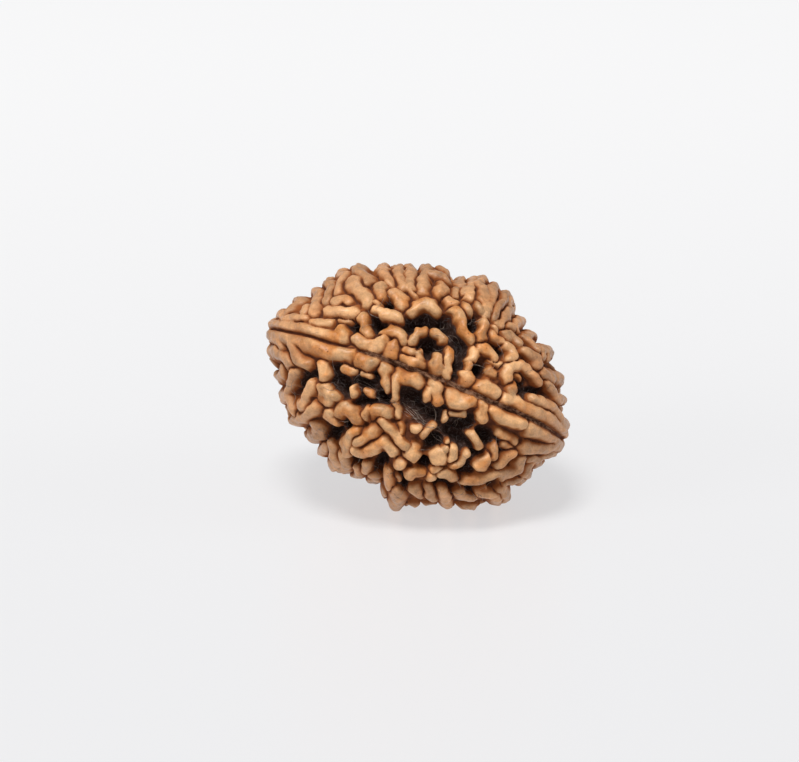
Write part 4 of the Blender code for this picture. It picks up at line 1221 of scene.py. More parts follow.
class NodeTree:
    """The nodes of one material."""

    def __init__(self, name: str) -> None:
        """Makes the material with its surface shader.

        Args:
            name: The material's name.
        """
        self.material = bpy.data.materials.new(name)
        self.material.use_nodes = True
        self.nodes = self.material.node_tree.nodes
        self.surface = self.nodes["Principled BSDF"]

    def node(self, kind: str, settings: dict[str, object], sockets: dict[int | str, object]) -> list[Wire]:
        """Adds a node.

        Args:
            kind: The node's type.
            settings: Its properties, set first.
            sockets: Values or wires for its inputs, by name or number.

        Returns:
            Its outputs.
        """
        made = self.nodes.new(kind)
        for name, value in settings.items():
            setattr(made, name, value)
        self._fill(made, sockets)
        return [Wire(self, output) for output in made.outputs]

    def _fill(self, made: bpy.types.Node, sockets: dict[int | str, object]) -> None:
        """Sets or links a node's inputs.

        Args:
            made: The node.
            sockets: Values or wires for its inputs, by name or number.
        """
        for name, value in sockets.items():
            if isinstance(value, Wire):
                self.material.node_tree.links.new(value.socket, made.inputs[name])
            elif isinstance(value, tuple):
                made.inputs[name].default_value = (*value, 1.0)[: len(made.inputs[name].default_value)]
            else:
                made.inputs[name].default_value = value

    def attribute(self, name: str) -> Wire:
        """Reads one of the mesh's own measures."""
        return self.node("ShaderNodeAttribute", {"attribute_name": name}, {})[VALUE_OUT]

    def place(self) -> Wire:
        """Gives the place on the object in metres."""
        return self.node("ShaderNodeTexCoord", {}, {})[OBJECT_OUT]

    def noise(self, size: float, detail: float = 3.0) -> Wire:
        """Gives smooth noise about 0.5.

        Args:
            size: The usual size of a patch, in millimetres.
            detail: How many finer octaves are added.

        Returns:
            The noise.
        """
        sockets = {"Vector": self.place(), "Scale": 1 / (size * MM), "Detail": detail}
        return self.node("ShaderNodeTexNoise", {}, sockets)[0]

    def specks(self, size: float) -> Wire:
        """Gives the distance to the nearest of many scattered points, in units of size millimetres."""
        return self.node("ShaderNodeTexVoronoi", {}, {"Vector": self.place(), "Scale": 1 / (size * MM)})[0]

    def blend(
        self, share: Wire | Number, first: Wire | Colour, second: Wire | Colour, mode: str = "MIX"
    ) -> Wire:
        """Mixes two colours.

        Args:
            share: The second colour's share.
            first: The first colour.
            second: The second one.
            mode: How they mix.

        Returns:
            The mixed colour.
        """
        settings = {"data_type": "RGBA", "blend_type": mode, "clamp_factor": True}
        sockets = {0: share, MIX_FIRST: first, MIX_SECOND: second}
        return self.node("ShaderNodeMix", settings, sockets)[MIX_OUT]

    def shade(self, sockets: dict[int | str, object]) -> bpy.types.Material:
        """Sets or links the surface shader's inputs.

        Args:
            sockets: Values or wires for them, by name.

        Returns:
            The material.
        """
        self._fill(self.surface, sockets)
        return self.material


@dataclass(frozen=True)
class Wood:
    """The stone's finish: tan and faintly waxy on its crests, with painted shade down their sides, stain and
    painted shade in creases, almost black in hollows.

    Args:
        tan: The crest tops.
        honey: Warmer patches of the crests.
        rosy: The paler crests round the rim.
        flank_shade: Painted shade on the sides of the crests.
        stain_and_shade: The creases, where it is partly stain and partly painted shade; also the seam and
            the pores.
        hollow_black: The near-black laid deep in the hollows.
        ash: Greyish specks of dried flesh in them.
        patch_size: Size in millimetres of the tan and honey patches.
        mottle_size: Size of the mottling.
        fleck_size: Size of the flecks.
        grain_size: Size of the finest grain.
        speck_size: Size of the ashen specks.
        pore_spacing: Distance between pores.
        bump: Strength and height in millimetres of the surface's bumps.
        coat: Weight and roughness of the waxy coat on the crest tops.
        honey_from: Noise where honey starts, and where it is full. The pairs below are alike.
        rosy_from: For rosy, the share of the way to the rim.
        flank_shade_from: For the painted shade on the flanks, how low a point lies between the crests.
        stain_and_shade_from: For the stain and painted shade in the creases, the same.
        seam_from: For the darker colour along the seam, how near the seam is.
        black_depth: For the near-black of the hollows, the depth.
        black_hollow: For it too, how far a point lies in a hollow.
        specks_from: For the ashen specks, their noise.
        pore_reach: For a pore, the distance from its middle.
        pores_from: For the patches that have pores, their noise.
        underside: For the darker underside, the height in metres.
        wax_from: For the wax, how low a point lies.
        rough_from: For rougher wood, the same.
    """

    tan: Colour = (0.670, 0.370, 0.168)
    honey: Colour = (0.565, 0.216, 0.054)
    rosy: Colour = (0.520, 0.262, 0.122)
    flank_shade: Colour = (0.285, 0.080, 0.015)
    stain_and_shade: Colour = (0.110, 0.029, 0.009)
    hollow_black: Colour = (0.036, 0.013, 0.007)
    ash: Colour = (0.125, 0.088, 0.078)
    patch_size: float = 1.7
    mottle_size: float = 0.7
    fleck_size: float = 0.16
    grain_size: float = 0.06
    speck_size: float = 0.2
    pore_spacing: float = 0.42
    bump: tuple[float, float] = (0.9, 0.10)
    coat: tuple[float, float] = (0.30, 0.36)
    honey_from: tuple[float, float] = (0.38, 0.66)
    rosy_from: tuple[float, float] = (0.62, 1.0)
    flank_shade_from: tuple[float, float] = (0.22, 1.05)
    stain_and_shade_from: tuple[float, float] = (0.55, 1.10)
    seam_from: tuple[float, float] = (0.45, 0.95)
    black_depth: tuple[float, float] = (0.42, 0.64)
    black_hollow: tuple[float, float] = (0.05, 0.50)
    specks_from: tuple[float, float] = (0.50, 0.68)
    pore_reach: tuple[float, float] = (0.16, 0.06)
    pores_from: tuple[float, float] = (0.52, 0.62)
    underside: tuple[float, float] = (0.0055, 0.0010)
    wax_from: tuple[float, float] = (0.75, 0.15)
    rough_from: tuple[float, float] = (0.3, 0.9)

    def material(self) -> bpy.types.Material:
        """Makes the material from the surface's own measures and some noise.

        Returns:
            The material.
        """
        tree = NodeTree("rudraksha_wood")
        patches = tree.noise(self.patch_size)
        mottle = tree.noise(self.mottle_size, detail=4.0)
        fleck = tree.noise(self.fleck_size, detail=2.0)
        mask_noise = (mottle - 0.5) * 0.5 + (patches - 0.5) * 0.5
        low, lower = self._lowness(tree, mask_noise)
        colour = self._crest_colour(tree, patches, mottle, fleck)
        # Painted shade: the crests darken towards their sides, in crevices and dips, and a little on the
        # underside
        colour = tree.blend(low.between(*self.flank_shade_from), colour, self.flank_shade)
        # Stain and painted shade darken the creases
        colour = tree.blend(lower.between(*self.stain_and_shade_from), colour, self.stain_and_shade)
        # The seam's groove takes the same darker colour
        colour = tree.blend(tree.attribute("seam").between(*self.seam_from) * 0.8, colour, self.stain_and_shade)
        colour = self._blackened_hollows(tree, colour, mask_noise)
        pores = tree.specks(self.pore_spacing).between(*self.pore_reach) * patches.between(*self.pores_from)
        colour = tree.blend(pores * 0.75, colour, self.stain_and_shade)
        relief = mottle * 0.9 + fleck * 0.45 + tree.noise(self.grain_size, detail=1.0) * 0.2 - pores * 0.4
        strength, height = self.bump
        sockets = {"Strength": strength, "Distance": height * MM, "Height": relief}
        bump = tree.node("ShaderNodeBump", {}, sockets)[0]
        rough = 0.42 + (mottle - 0.5) * 0.3 + low.between(*self.rough_from) * 0.4
        waxed, coat_roughness = self.coat
        gloss = {"Specular IOR Level": 0.3, "Coat Roughness": coat_roughness}
        gloss["Coat Weight"] = low.between(*self.wax_from) * waxed
        return tree.shade({"Base Color": colour, "Roughness": rough, "Normal": bump, **gloss})

    def _crest_colour(self, tree: NodeTree, patches: Wire, mottle: Wire, fleck: Wire) -> Wire:
        """Mixes the colour of the crests.

        Args:
            tree: The material's nodes.
            patches: The broadest noise.
            mottle: The middle noise.
            fleck: The fine noise.

        Returns:
            The colour.
        """
        tone = tree.attribute("tone")
        colour = tree.blend((patches - tone * 0.06).between(*self.honey_from), self.tan, self.honey)
        colour = tree.blend(tree.attribute("rim").between(*self.rosy_from), colour, self.rosy)
        lit = 0.98 + tone * 0.16 + (mottle - 0.5) * 1.1 + (fleck - 0.5) * 0.6
        grey = tree.node("ShaderNodeCombineColor", {}, {0: lit, 1: lit, 2: lit})[0]
        return tree.blend(1.0, colour, grey, "MULTIPLY")

    def _lowness(self, tree: NodeTree, mask_noise: Wire) -> tuple[Wire, Wire]:
        """Tells how low the surface lies between the crests, as the mask of the painted shade on flanks and
        in creases.

        Args:
            tree: The material's nodes.
            mask_noise: Noise that makes the tones' edges uneven.

        Returns:
            The mask for the flanks' painted shade, and the one for the creases' stain and painted shade.
        """
        depth = tree.attribute("depth")
        crevice = tree.attribute("crevice")
        bowl = tree.attribute("bowl")
        crease = tree.attribute("crease")
        side = tree.attribute("side") * 2.0
        under = tree.node("ShaderNodeSeparateXYZ", {}, {0: tree.place()})[2].between(*self.underside)
        # Painted shade on the flanks: darker towards a crest's edge, in crevices, dips and depth, and a
        # little on the underside
        low = side * 0.85 + crease * 0.3 + crevice * 0.5 + bowl * 0.35 + depth * 0.5 + under * 0.10 + mask_noise
        # Stain and painted shade in the creases: crease, crevice and depth
        lower = side * 0.30 + crease * 0.65 + crevice * 0.7 + depth * 0.6 + mask_noise
        return low, lower

    def _blackened_hollows(self, tree: NodeTree, colour: Wire, mask_noise: Wire) -> Wire:
        """Lays near-black deep in the hollows.

        Args:
            tree: The material's nodes.
            colour: The colour without it.
            mask_noise: Noise that makes its edges uneven.

        Returns:
            The colour with it.
        """
        # Near-black laid where the surface lies deep below the crests inside a hollow, with ashen specks
        deep = (tree.attribute("depth") + mask_noise * 0.3).between(*self.black_depth)
        hollow = (tree.attribute("hollow") + mask_noise).between(*self.black_hollow)
        specks = tree.noise(self.speck_size, detail=4.0).between(*self.specks_from)
        hollow_colour = tree.blend(specks * 0.55, self.hollow_black, self.ash)
        return tree.blend(deep * hollow, colour, hollow_colour)


@dataclass(frozen=True)
class DryFibre:
    """The finish of one kind of fibre of dried flesh that is left on the stone.

    Args:
        name: The material's name.
        dark: The colour of the darker fibres.
        pale: The colour of the paler ones.
        patch_size: Size in millimetres of the patches of either.
        pale_from: Noise at which the paler colour starts, and is full.
    """

    name: str
    dark: Colour
    pale: Colour
    patch_size: float = 0.35
    pale_from: tuple[float, float] = (0.35, 0.65)

    def material(self) -> bpy.types.Material:
        """Makes the material, which varies between the two colours along each fibre.

        Returns:
            The material.
        """
        tree = NodeTree(self.name)
        along = tree.noise(self.patch_size, detail=2.0).between(*self.pale_from)
        colour = tree.blend(along, self.dark, self.pale)
        return tree.shade({"Base Color": colour, "Roughness": 0.6 + along * 0.2, "Specular IOR Level": 0.2})


@dataclass
class BeadSurface:
    """The fine surface of the whole bead, in place of the construction's solid.

    Args:
        crests: The bead's chains.
        relief: The formula that raises the skin.
        finish: The wood.
        subdivisions: Subdivisions of the ball that the surface is made from.
        faces: How many triangles are kept.
        smoothing: Passes of smoothing, to take the steps out of steep creases.
        crevice_passes: Averagings of the height over neighbours that find creases, which the material
            darkens as painted shade.
        bowl_passes: Averagings that find broader dips, which it darkens as painted shade too.
        crevice_depth: Dip in millimetres that counts as 1.
        bowl_depth: The same for broader dips.
    """

    crests: CrestMap
    relief: Relief = Relief()
    finish: Wood = Wood()
    subdivisions: int = 8
    faces: int = 190_000
    smoothing: int = 2
    crevice_passes: int = 12
    bowl_passes: int = 90
    crevice_depth: float = 0.45
    bowl_depth: float = 0.9

    def build(self) -> bpy.types.Object:
        """Models, thins and dresses the surface.

        Returns:
            The finished piece.
        """
        deselect()
        bpy.ops.mesh.primitive_ico_sphere_add(subdivisions=self.subdivisions, radius=1.0)
        piece = bpy.context.object
        piece.name = piece.data.name = "bead_surface"
        self._carve(piece.data)
        self._apply(piece, "SMOOTH", factor=0.5, iterations=self.smoothing)
        self._apply(piece, "DECIMATE", ratio=self.faces / len(piece.data.polygons))
        self._rest_on_table(piece)
        piece.data.materials.append(self.finish.material())
        piece.data.shade_smooth()
        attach(piece, BODY)
        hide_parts(NODE)
        log.info("bead_surface: %d faces", len(piece.data.polygons))
        return piece

    def _carve(self, mesh: bpy.types.Mesh) -> None:
        """Moves a unit ball's vertices onto the finished surface and keeps the relief's measures.

        Args:
            mesh: The ball, which becomes the surface.
        """
        form = self.crests.form
        directions = np.empty(len(mesh.vertices) * 3)
        mesh.vertices.foreach_get("co", directions)
        skin = form.on_skin(directions.reshape(-1, 3))
        surface = self.relief.surface(skin, self.crests)
        carved = skin + surface.height[:, None] * form.outward(skin) + surface.aside
        mesh.vertices.foreach_set("co", form.to_frame(carved).ravel())
        measures = {
            "depth": surface.depth,
            "hollow": surface.hollow,
            "side": surface.side,
            "seam": surface.seam,
            "crease": surface.crease,
            "tone": surface.tone,
            "rim": np.where(skin[:, 2] > 0, form.reach(skin), 1.0),
            # Dips under the skin round them, which the material darkens as painted shade
            "crevice": self._dips(mesh, surface.height, self.crevice_passes) / self.crevice_depth,
            "bowl": self._dips(mesh, surface.height, self.bowl_passes) / self.bowl_depth,
        }
        for name, values in measures.items():
            attribute = mesh.attributes.new(name, "FLOAT", "POINT")
            attribute.data.foreach_set("value", np.clip(values, -1, 1).astype(np.float32))
        mesh.update()

    def _dips(self, mesh: bpy.types.Mesh, height: np.ndarray, passes: int) -> np.ndarray:
        """Finds how far each vertex lies under the average of the skin round it.

        Args:
            mesh: The mesh, for its edges.
            height: Each vertex's height.
            passes: How often the height is averaged over neighbours.

        Returns:
            The dip at each vertex.
        """
        edges = np.empty(len(mesh.edges) * 2, int)
        mesh.edges.foreach_get("vertices", edges)
        start, end = edges[0::2], edges[1::2]
        count = np.bincount(edges, minlength=len(height))
        mean = height
        for _ in range(passes):
            total = np.bincount(start, mean[end], len(height)) + np.bincount(end, mean[start], len(height))
            mean = total / count
        return mean - height

    def _apply(self, piece: bpy.types.Object, kind: str, **settings: float) -> None:
        """Adds a modifier and applies it.

        Args:
            piece: The piece that it changes.
            kind: The modifier's type.
            settings: Its properties.
        """
        choose(piece)
        modifier = piece.modifiers.new(kind.lower(), kind)
        for name, value in settings.items():
            setattr(modifier, name, value)
        bpy.ops.object.modifier_apply(modifier=modifier.name)

    def _rest_on_table(self, piece: bpy.types.Object) -> None:
        """Cuts the knobs flat at the table.

        Args:
            piece: The surface.
        """
        choose(piece)
        bpy.ops.object.mode_set(mode="EDIT")
        bpy.ops.mesh.select_all(action="SELECT")
        table = {"plane_co": (0, 0, 0), "plane_no": (0, 0, 1)}
        bpy.ops.mesh.bisect(**table, use_fill=True, clear_inner=True, threshold=1e-6)
        bpy.ops.mesh.select_all(action="SELECT")
        bpy.ops.mesh.quads_convert_to_tris()
        bpy.ops.object.mode_set(mode="OBJECT")


class Probe:
    """Finds the finished surface from outside, in skin coordinates."""

    def __init__(self, piece: bpy.types.Object, form: BeadForm) -> None:
        """Builds the search tree.

        Args:
            piece: The finished surface.
            form: The plain skin, which holds the piece's place.
        """
        to_skin = form.placement().inverted()
        places = [to_skin @ vertex.co for vertex in piece.data.vertices]
        faces = [tuple(face.vertices) for face in piece.data.polygons]
        self.tree = BVHTree.FromPolygons(places, faces)

    def front(self, x: float, y: float) -> Vector | None:
        """Gives the point of the front face seen at a place on it, if there is one."""
        return self.tree.ray_cast(Vector((x, y, OUTSIDE)), Vector((0, 0, -1)))[0]

    def clear(self, point: Vector, gap: float) -> Vector:
        """Moves a point out of the surface, along the line of sight to the front face, if it lies in it.

        Args:
            point: The point.
            gap: The gap that it keeps from the surface.

        Returns:
            The point, moved if need be.
        """
        top = self.front(point.x, point.y)
        if top is None or point.z >= top.z + gap:
            return point
        return Vector((point.x, point.y, top.z + gap))


@dataclass(frozen=True)
class Strand:
    """One fibre.

    Args:
        points: The points that it follows, in skin coordinates.
        radius: Its radius in the middle.
    """

    points: list[Vector]
    radius: float


@dataclass
class FibrePiece:
    """A group of fibres that is one piece.

    Args:
        name: The piece's name.
        finish: The fibres' finish.
        seed: Seed of the draw.
        highest: Height over the crest tops that no fibre passes.
        thin_end: Share of its radius that a fibre would have left where its taper ends.
        taper_from: Share of the taper that is left out at each end.
    """

    name: str
    finish: DryFibre
    seed: int
    highest: float = -0.15
    thin_end: float = 0.35
    taper_from: float = 0.15

    def strands(self, probe: Probe, draw: random.Random) -> list[Strand]:
        """Lays out the fibres. Each kind of group has its own way.

        Args:
            probe: Finds the bead's surface.
            draw: The group's draw.

        Returns:
            The fibres.
        """
        raise NotImplementedError

    def build(self, probe: Probe, form: BeadForm) -> bpy.types.Object:
        """Makes the fibres as thin tapering tubes.

        Args:
            probe: Finds the bead's surface.
            form: The plain skin, which holds the bead's place.

        Returns:
            The finished piece.
        """
        curve = bpy.data.curves.new(self.name, "CURVE")
        curve.dimensions = "3D"
        curve.bevel_depth = MM
        curve.bevel_resolution = 0
        curve.use_fill_caps = True
        placement = form.placement()
        for strand in self.strands(probe, random.Random(self.seed)):
            if not self._kept(strand, form):
                continue
            spline = curve.splines.new("POLY")
            spline.points.add(len(strand.points) - 1)
            last = len(strand.points) - 1
            for index, (target, point) in enumerate(zip(spline.points, strand.points)):
                target.co = (*(placement @ point), 1.0)
                arch = math.sin(math.pi * (self.taper_from + (1 - 2 * self.taper_from) * index / last))
                target.radius = strand.radius * (self.thin_end + (1 - self.thin_end) * arch)
        piece = bpy.data.objects.new(self.name, curve)
        bpy.context.scene.collection.objects.link(piece)
        choose(piece)
        bpy.ops.object.convert(target="MESH")
        piece = bpy.context.object
        piece.data.materials.clear()
        piece.data.materials.append(self.finish.material())
        piece.data.shade_smooth()
        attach(piece, BODY)
        log.info("%s: %d faces", self.name, len(piece.data.polygons))
        return piece

    def _kept(self, strand: Strand, form: BeadForm) -> bool:
        """Tells whether a fibre stays low on the bead and above the table.

        Args:
            strand: The fibre.
            form: The plain skin.

        Returns:
            Whether it does.
        """
        points = np.array([tuple(point) for point in strand.points])
        over_skin = np.linalg.norm(points, axis=1) - np.linalg.norm(form.on_skin(points), axis=1)
        return over_skin.max() < self.highest and form.to_frame(points)[:, 2].min() > strand.radius * MM


Place = tuple[float, float]

# A laid fibre's least share of its bow outwards, its most share of curl, how fast that turns, and its gap
OUTWARD_LEAST = 0.2
CURL_MOST = 0.25
CURL_RATE = 7
FIBRE_GAP = 0.02


def laid(
    probe: Probe, draw: random.Random, start: Place, end: Place, bow: float, steps: int
) -> list[Vector]:
    """Lays a fibre over the front face from one place to another.

    Args:
        probe: Finds the bead's surface.
        draw: The group's draw.
        start: Where it starts on the face.
        end: Where it ends.
        bow: The most that it bows sideways and outwards.
        steps: How many stretches it has.

    Returns:
        Its points, or none where an end is off the bead.
    """
    feet = [probe.front(*start), probe.front(*end)]
    if None in feet:
        return []
    across = Vector((end[1] - start[1], start[0] - end[0], 0)).normalized()
    sideways, outwards = draw.uniform(-bow, bow), draw.uniform(OUTWARD_LEAST, 1.0) * bow
    curl, phase = draw.uniform(0, CURL_MOST) * bow, draw.uniform(0, 6)
    points = []
    for step in range(steps + 1):
        share = step / steps
        arch = math.sin(math.pi * share)
        point = feet[0].lerp(feet[1], share)
        point += across * (sideways * arch + curl * math.sin(phase + CURL_RATE * share))
        point.z += outwards * arch
        points.append(probe.clear(point, FIBRE_GAP))
    return points


@dataclass
class HollowFuzz(FibrePiece):
    """Short, curled, dark fibres that stand in the front face's hollows.

    Args:
        hollows: The hollows.
        per_length: Fibres for each millimetre of a hollow's length.
        spacing: Distance between the points of a hollow's line.
        spread: How far roots lie from that line, as a share of the hollow's radius.
        lengths: Range of a fibre's length.
        radii: Range of its radius.
        steps: How many stretches it has.
        lean: Spread of its direction about the outward one.
        curl: How much its direction turns at each stretch.
        curl_spread: Spread of that turn along each axis.
        deepest_root: How far below the plain skin a root must lie.
    """

    hollows: list[Chain] = field(default_factory=list)
    per_length: float = 17.0
    spacing: float = 0.3
    spread: float = 0.6
    lengths: tuple[float, float] = (0.3, 0.9)
    radii: tuple[float, float] = (0.010, 0.018)
    steps: int = 6
    lean: float = 1.2
    curl: float = 0.28
    curl_spread: tuple[float, float, float] = (1.0, 1.0, 0.4)
    deepest_root: float = 0.75

    def strands(self, probe: Probe, draw: random.Random) -> list[Strand]:
        """Scatters fibres in each hollow of the front face.

        Args:
            probe: Finds the bead's surface.
            draw: The group's draw.

        Returns:
            The fibres.
        """
        made = []
        for hollow in self.hollows:
            if hollow.points[0][2] < 0:
                continue
            length = self.spacing * len(hollow.points) + hollow.radii[0]
            for _ in range(round(self.per_length * length)):
                middle = hollow.points[draw.randrange(len(hollow.points))]
                spread = self.spread * hollow.radii[0]
                root = probe.front(middle[0] + draw.gauss(0, spread), middle[1] + draw.gauss(0, spread))
                if root is not None and root.length < np.linalg.norm(middle) - self.deepest_root:
                    made.append(self._curled(root, draw))
        return made

    def _curled(self, root: Vector, draw: random.Random) -> Strand:
        """Grows one curling fibre outwards.

        Args:
            root: Where it is rooted.
            draw: The group's draw.

        Returns:
            The fibre.
        """
        way = Vector((draw.gauss(0, self.lean), draw.gauss(0, self.lean), 1.0)).normalized()
        turn = Vector([draw.gauss(0, spread) for spread in self.curl_spread]) * self.curl
        stride = draw.uniform(*self.lengths) / self.steps
        points = [root]
        for _ in range(self.steps):
            points.append(points[-1] + way * stride)
            way = (way + turn).normalized()
        return Strand(points, draw.uniform(*self.radii))


@dataclass
class PaleFibres(FibrePiece):
    """Light fibres that cross the hollows, where the bead shows them.

    Args:
        runs: Start, end, how many fibres run there, and how far their ends spread.
        run_bow: The most that a run's fibre bows.
        run_steps: How many stretches it has.
        strays: How many more lie anywhere near the hollows.
        stray_spread: How far they start from a hollow's line.
        stray_lengths: Range of their length.
        stray_bow: The most that they bow.
        stray_steps: How many stretches they have.
        hollows: The hollows.
        radii: Range of a fibre's radius.
    """

    runs: tuple[tuple[Place, Place, int, float], ...] = ()
    run_bow: float = 0.25
    run_steps: int = 10
    strays: int = 90
    stray_spread: float = 0.4
    stray_lengths: tuple[float, float] = (0.5, 1.6)
    stray_bow: float = 0.3
    stray_steps: int = 7
    hollows: list[Chain] = field(default_factory=list)
    radii: tuple[float, float] = (0.010, 0.019)

    def strands(self, probe: Probe, draw: random.Random) -> list[Strand]:
        """Lays the fibres of each run, then the strays.

        Args:
            probe: Finds the bead's surface.
            draw: The group's draw.

        Returns:
            The fibres.
        """
        made = []
        for start, end, count, spread in self.runs:
            for _ in range(count):
                ends = [(x + draw.gauss(0, spread), y + draw.gauss(0, spread)) for x, y in (start, end)]
                points = laid(probe, draw, *ends, self.run_bow, self.run_steps)
                made.append(Strand(points, draw.uniform(*self.radii)))
        fronts = [hollow for hollow in self.hollows if hollow.points[0][2] > 0]
        for _ in range(self.strays):
            hollow = draw.choice(fronts)
            x, y, _ = hollow.points[draw.randrange(len(hollow.points))]
            x, y = x + draw.gauss(0, self.stray_spread), y + draw.gauss(0, self.stray_spread)
            turn, length = draw.uniform(0, 2 * math.pi), draw.uniform(*self.stray_lengths)
            end = (x + length * math.cos(turn), y + length * math.sin(turn))
            points = laid(probe, draw, (x, y), end, self.stray_bow, self.stray_steps)
            made.append(Strand(points, draw.uniform(*self.radii)))
        return [strand for strand in made if strand.points]


@dataclass
class SeamFibres(FibrePiece):
    """Tan fibres that lie along the seam's groove.

    Args:
        seam: The seam's line on the front face.
        count: How many fibres there are.
        reach: Where along x they lie.
        spread: How far they lie from the line.
        lengths: Range of a fibre's length along x.
        radii: Range of its radius.
        bow: The most that it bows.
        steps: How many stretches it has.
    """

    seam: tuple[Place, ...] = ()
    count: int = 330
    reach: tuple[float, float] = (-4.0, 10.5)
    spread: float = 0.12
    lengths: tuple[float, float] = (0.7, 2.2)
    radii: tuple[float, float] = (0.009, 0.019)
    bow: float = 0.12
    steps: int = 7

    def strands(self, probe: Probe, draw: random.Random) -> list[Strand]:
        """Lays fibres end to end and over each other along the line.

        Args:
            probe: Finds the bead's surface.
            draw: The group's draw.

        Returns:
            The fibres.
        """
        places = [x for x, _ in self.seam]
        heights = [y for _, y in self.seam]
        made = []
        for _ in range(self.count):
            x = draw.uniform(*self.reach)
            length = draw.uniform(*self.lengths)
            ends = []
            for at in (x - length / 2, x + length / 2):
                ends.append((at, float(np.interp(at, places, heights)) + draw.gauss(0, self.spread)))
            points = laid(probe, draw, *ends, self.bow, self.steps)
            if points:
                made.append(Strand(points, draw.uniform(*self.radii)))
        return made


@dataclass(frozen=True)
class PaleFloor:
    """The floor's finish: pale and faintly glossy, with a glow that evens it out and grows behind the bead.

    Args:
        dull: Its colour in its duller patches.
        clear: Its colour in the others.
        patch_size: Size of a patch in millimetres.
        near: The glow's colour in front of the bead.
        far: Its colour behind the bead.
        far_from: Place in metres at which the glow starts to grow, and is full.
        glow: The glow's strength.
    """

    dull: Colour = (0.24, 0.24, 0.24)
    clear: Colour = (0.26, 0.26, 0.26)
    patch_size: float = 90.0
    near: Colour = (0.88, 0.88, 0.90)
    far: Colour = (1.10, 1.10, 1.11)
    far_from: tuple[float, float] = (-0.06, 0.14)
    glow: float = 0.62

    def material(self) -> bpy.types.Material:
        """Makes the material.

        Returns:
            The material.
        """
        tree = NodeTree("pale_floor")
        shade = tree.blend(tree.noise(self.patch_size, detail=1.0), self.dull, self.clear)
        away = tree.node("ShaderNodeSeparateXYZ", {}, {0: tree.place()})[1].between(*self.far_from)
        glow = {"Emission Color": tree.blend(away, self.near, self.far), "Emission Strength": self.glow}
        return tree.shade({"Base Color": shade, "Roughness": 0.35, "Specular IOR Level": 0.25, **glow})


@dataclass(frozen=True)
class SoftLight:
    """A square light.

    Args:
        name: The light's name.
        place: Its place in metres.
        size: Its side in metres.
        power: Its power in watts.
    """

    name: str
    place: tuple[float, float, float]
    size: float
    power: float

    def hang(self, aim: Vector) -> None:
        """Adds the light.

        Args:
            aim: The point that it looks at.
        """
        data = bpy.data.lights.new(self.name, "AREA")
        data.size = self.size
        data.energy = self.power
        light = bpy.data.objects.new(self.name, data)
        light.location = self.place
        light.rotation_euler = (Vector(self.place) - aim).to_track_quat("Z", "Y").to_euler()
        bpy.context.scene.collection.objects.link(light)


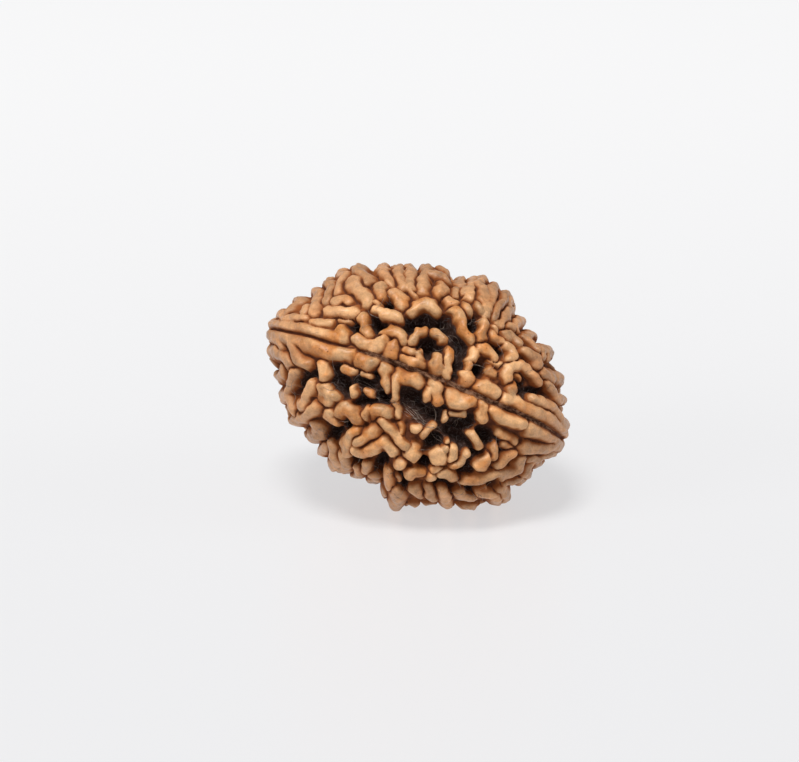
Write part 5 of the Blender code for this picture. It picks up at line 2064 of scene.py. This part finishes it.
@dataclass
class Studio:
    """The camera, the pale floor and the soft lights.

    Args:
        form: The bead's form, which the camera looks at.
        picture: Width and height of the picture, in pixels.
        bead_pixel: The bead's centre in it.
        pixel: Millimetres that a pixel covers at the bead.
        height: The camera's height over the horizon, in degrees.
        distance: The camera's distance in metres.
        sensor: The camera's sensor width in millimetres.
        floor_size: The floor's side in metres.
        floor: The floor's finish.
        room: Brightness of the room all round.
        lights: The lights.
    """

    form: BeadForm
    picture: tuple[int, int] = (799, 762)
    bead_pixel: tuple[float, float] = (417.0, 387.0)
    pixel: float = 0.082
    height: float = 20.0
    distance: float = 0.6
    sensor: float = 36.0
    floor_size: float = 4.0
    floor: PaleFloor = PaleFloor()
    room: float = 0.27
    lights: tuple[SoftLight, ...] = (
        SoftLight("top_light", (-0.08, -0.19, 0.58), 0.20, 3.25),
        SoftLight("left_light", (-0.55, -0.30, 0.30), 0.30, 0.9),
        SoftLight("right_light", (0.60, -0.10, 0.30), 0.30, 0.6),
    )

    def build(self) -> None:
        """Makes the camera, the floor, the room and the lights."""
        self._camera()
        self._floor()
        self._room()
        for light in self.lights:
            light.hang(self.form.centre())
        bpy.context.scene.view_settings.view_transform = "Standard"
        log.info("studio: camera, floor and lights")

    def _camera(self) -> None:
        """Looks at the bead from the photograph's height."""
        width, tall = self.picture
        up_angle = math.radians(self.height)
        back = Vector((0, -math.cos(up_angle), math.sin(up_angle)))
        up = Vector((0, math.sin(up_angle), math.cos(up_angle)))
        right = Vector((1, 0, 0))
        aside = (width / 2 - self.bead_pixel[0]) * self.pixel * MM
        above = (self.bead_pixel[1] - tall / 2) * self.pixel * MM
        aim = self.form.centre() + right * aside + up * above
        data = bpy.data.cameras.new("camera")
        data.sensor_width = self.sensor
        data.lens = self.sensor * self.distance / (width * self.pixel * MM)
        data.clip_start = 0.01
        camera = bpy.data.objects.new("camera", data)
        camera.location = aim + back * self.distance
        camera.rotation_euler = (-back).to_track_quat("-Z", "Y").to_euler()
        bpy.context.scene.collection.objects.link(camera)
        bpy.context.scene.camera = camera

    def _floor(self) -> None:
        """Lays the floor."""
        deselect()
        bpy.ops.mesh.primitive_plane_add(size=self.floor_size)
        floor = bpy.context.object
        floor.name = "floor"
        floor.data.materials.append(self.floor.material())

    def _room(self) -> None:
        """Makes an evenly bright room."""
        world = bpy.data.worlds.new("room")
        world.use_nodes = True
        world.node_tree.nodes["Background"].inputs[0].default_value = (1.0, 1.0, 1.0, 1.0)
        world.node_tree.nodes["Background"].inputs[1].default_value = self.room
        bpy.context.scene.world = world


BLACK_FIBRE = DryFibre("dark_fibre", (0.012, 0.009, 0.009), (0.150, 0.122, 0.115))
PALE_FIBRE = DryFibre("pale_fibre", (0.12, 0.085, 0.065), (0.42, 0.33, 0.27))
BROWN_FIBRE = DryFibre("brown_fibre", (0.085, 0.026, 0.010), (0.40, 0.21, 0.12))

# Runs of pale fibres on the front face: start, end, how many, and how far their ends spread
PALE_RUNS = (
    ((-4.9, 0.6), (-3.0, -0.6), 2, 0.06),
    ((-2.6, -1.0), (-1.7, -1.35), 5, 0.12),
    ((2.6, 4.2), (3.5, 3.3), 2, 0.06),
    ((-1.3, -1.2), (0.5, -2.8), 3, 0.10),
    ((-1.2, -1.9), (0.3, -2.9), 3, 0.12),
    ((0.6, -1.6), (1.4, -2.4), 2, 0.08),
    ((-0.2, -2.0), (0.6, -2.9), 3, 0.10),
    ((0.2, -2.9), (2.0, -3.3), 4, 0.14),
    ((1.2, -3.8), (2.0, -4.3), 3, 0.10),
    ((3.0, -3.1), (3.6, -2.6), 3, 0.12),
)


def main() -> None:
    """Builds the bead, its fibres and the studio in order."""
    logging.basicConfig(level=logging.INFO, format="%(message)s")
    form = BeadForm()
    crests = CrestMap(form, Footing())
    hollows = crests.hollows
    bead = BeadSurface(crests).build()
    probe = Probe(bead, form)
    HollowFuzz("hollow_fuzz", BLACK_FIBRE, seed=11, hollows=hollows).build(probe, form)
    pale = PaleFibres("pale_fibres", PALE_FIBRE, seed=12, highest=0.0, runs=PALE_RUNS, hollows=hollows)
    pale.build(probe, form)
    SeamFibres("seam_fibres", BROWN_FIBRE, seed=13, seam=tuple(SEAM_FRONT)).build(probe, form)
    Studio(form).build()


if __name__ == "__main__":
    main()
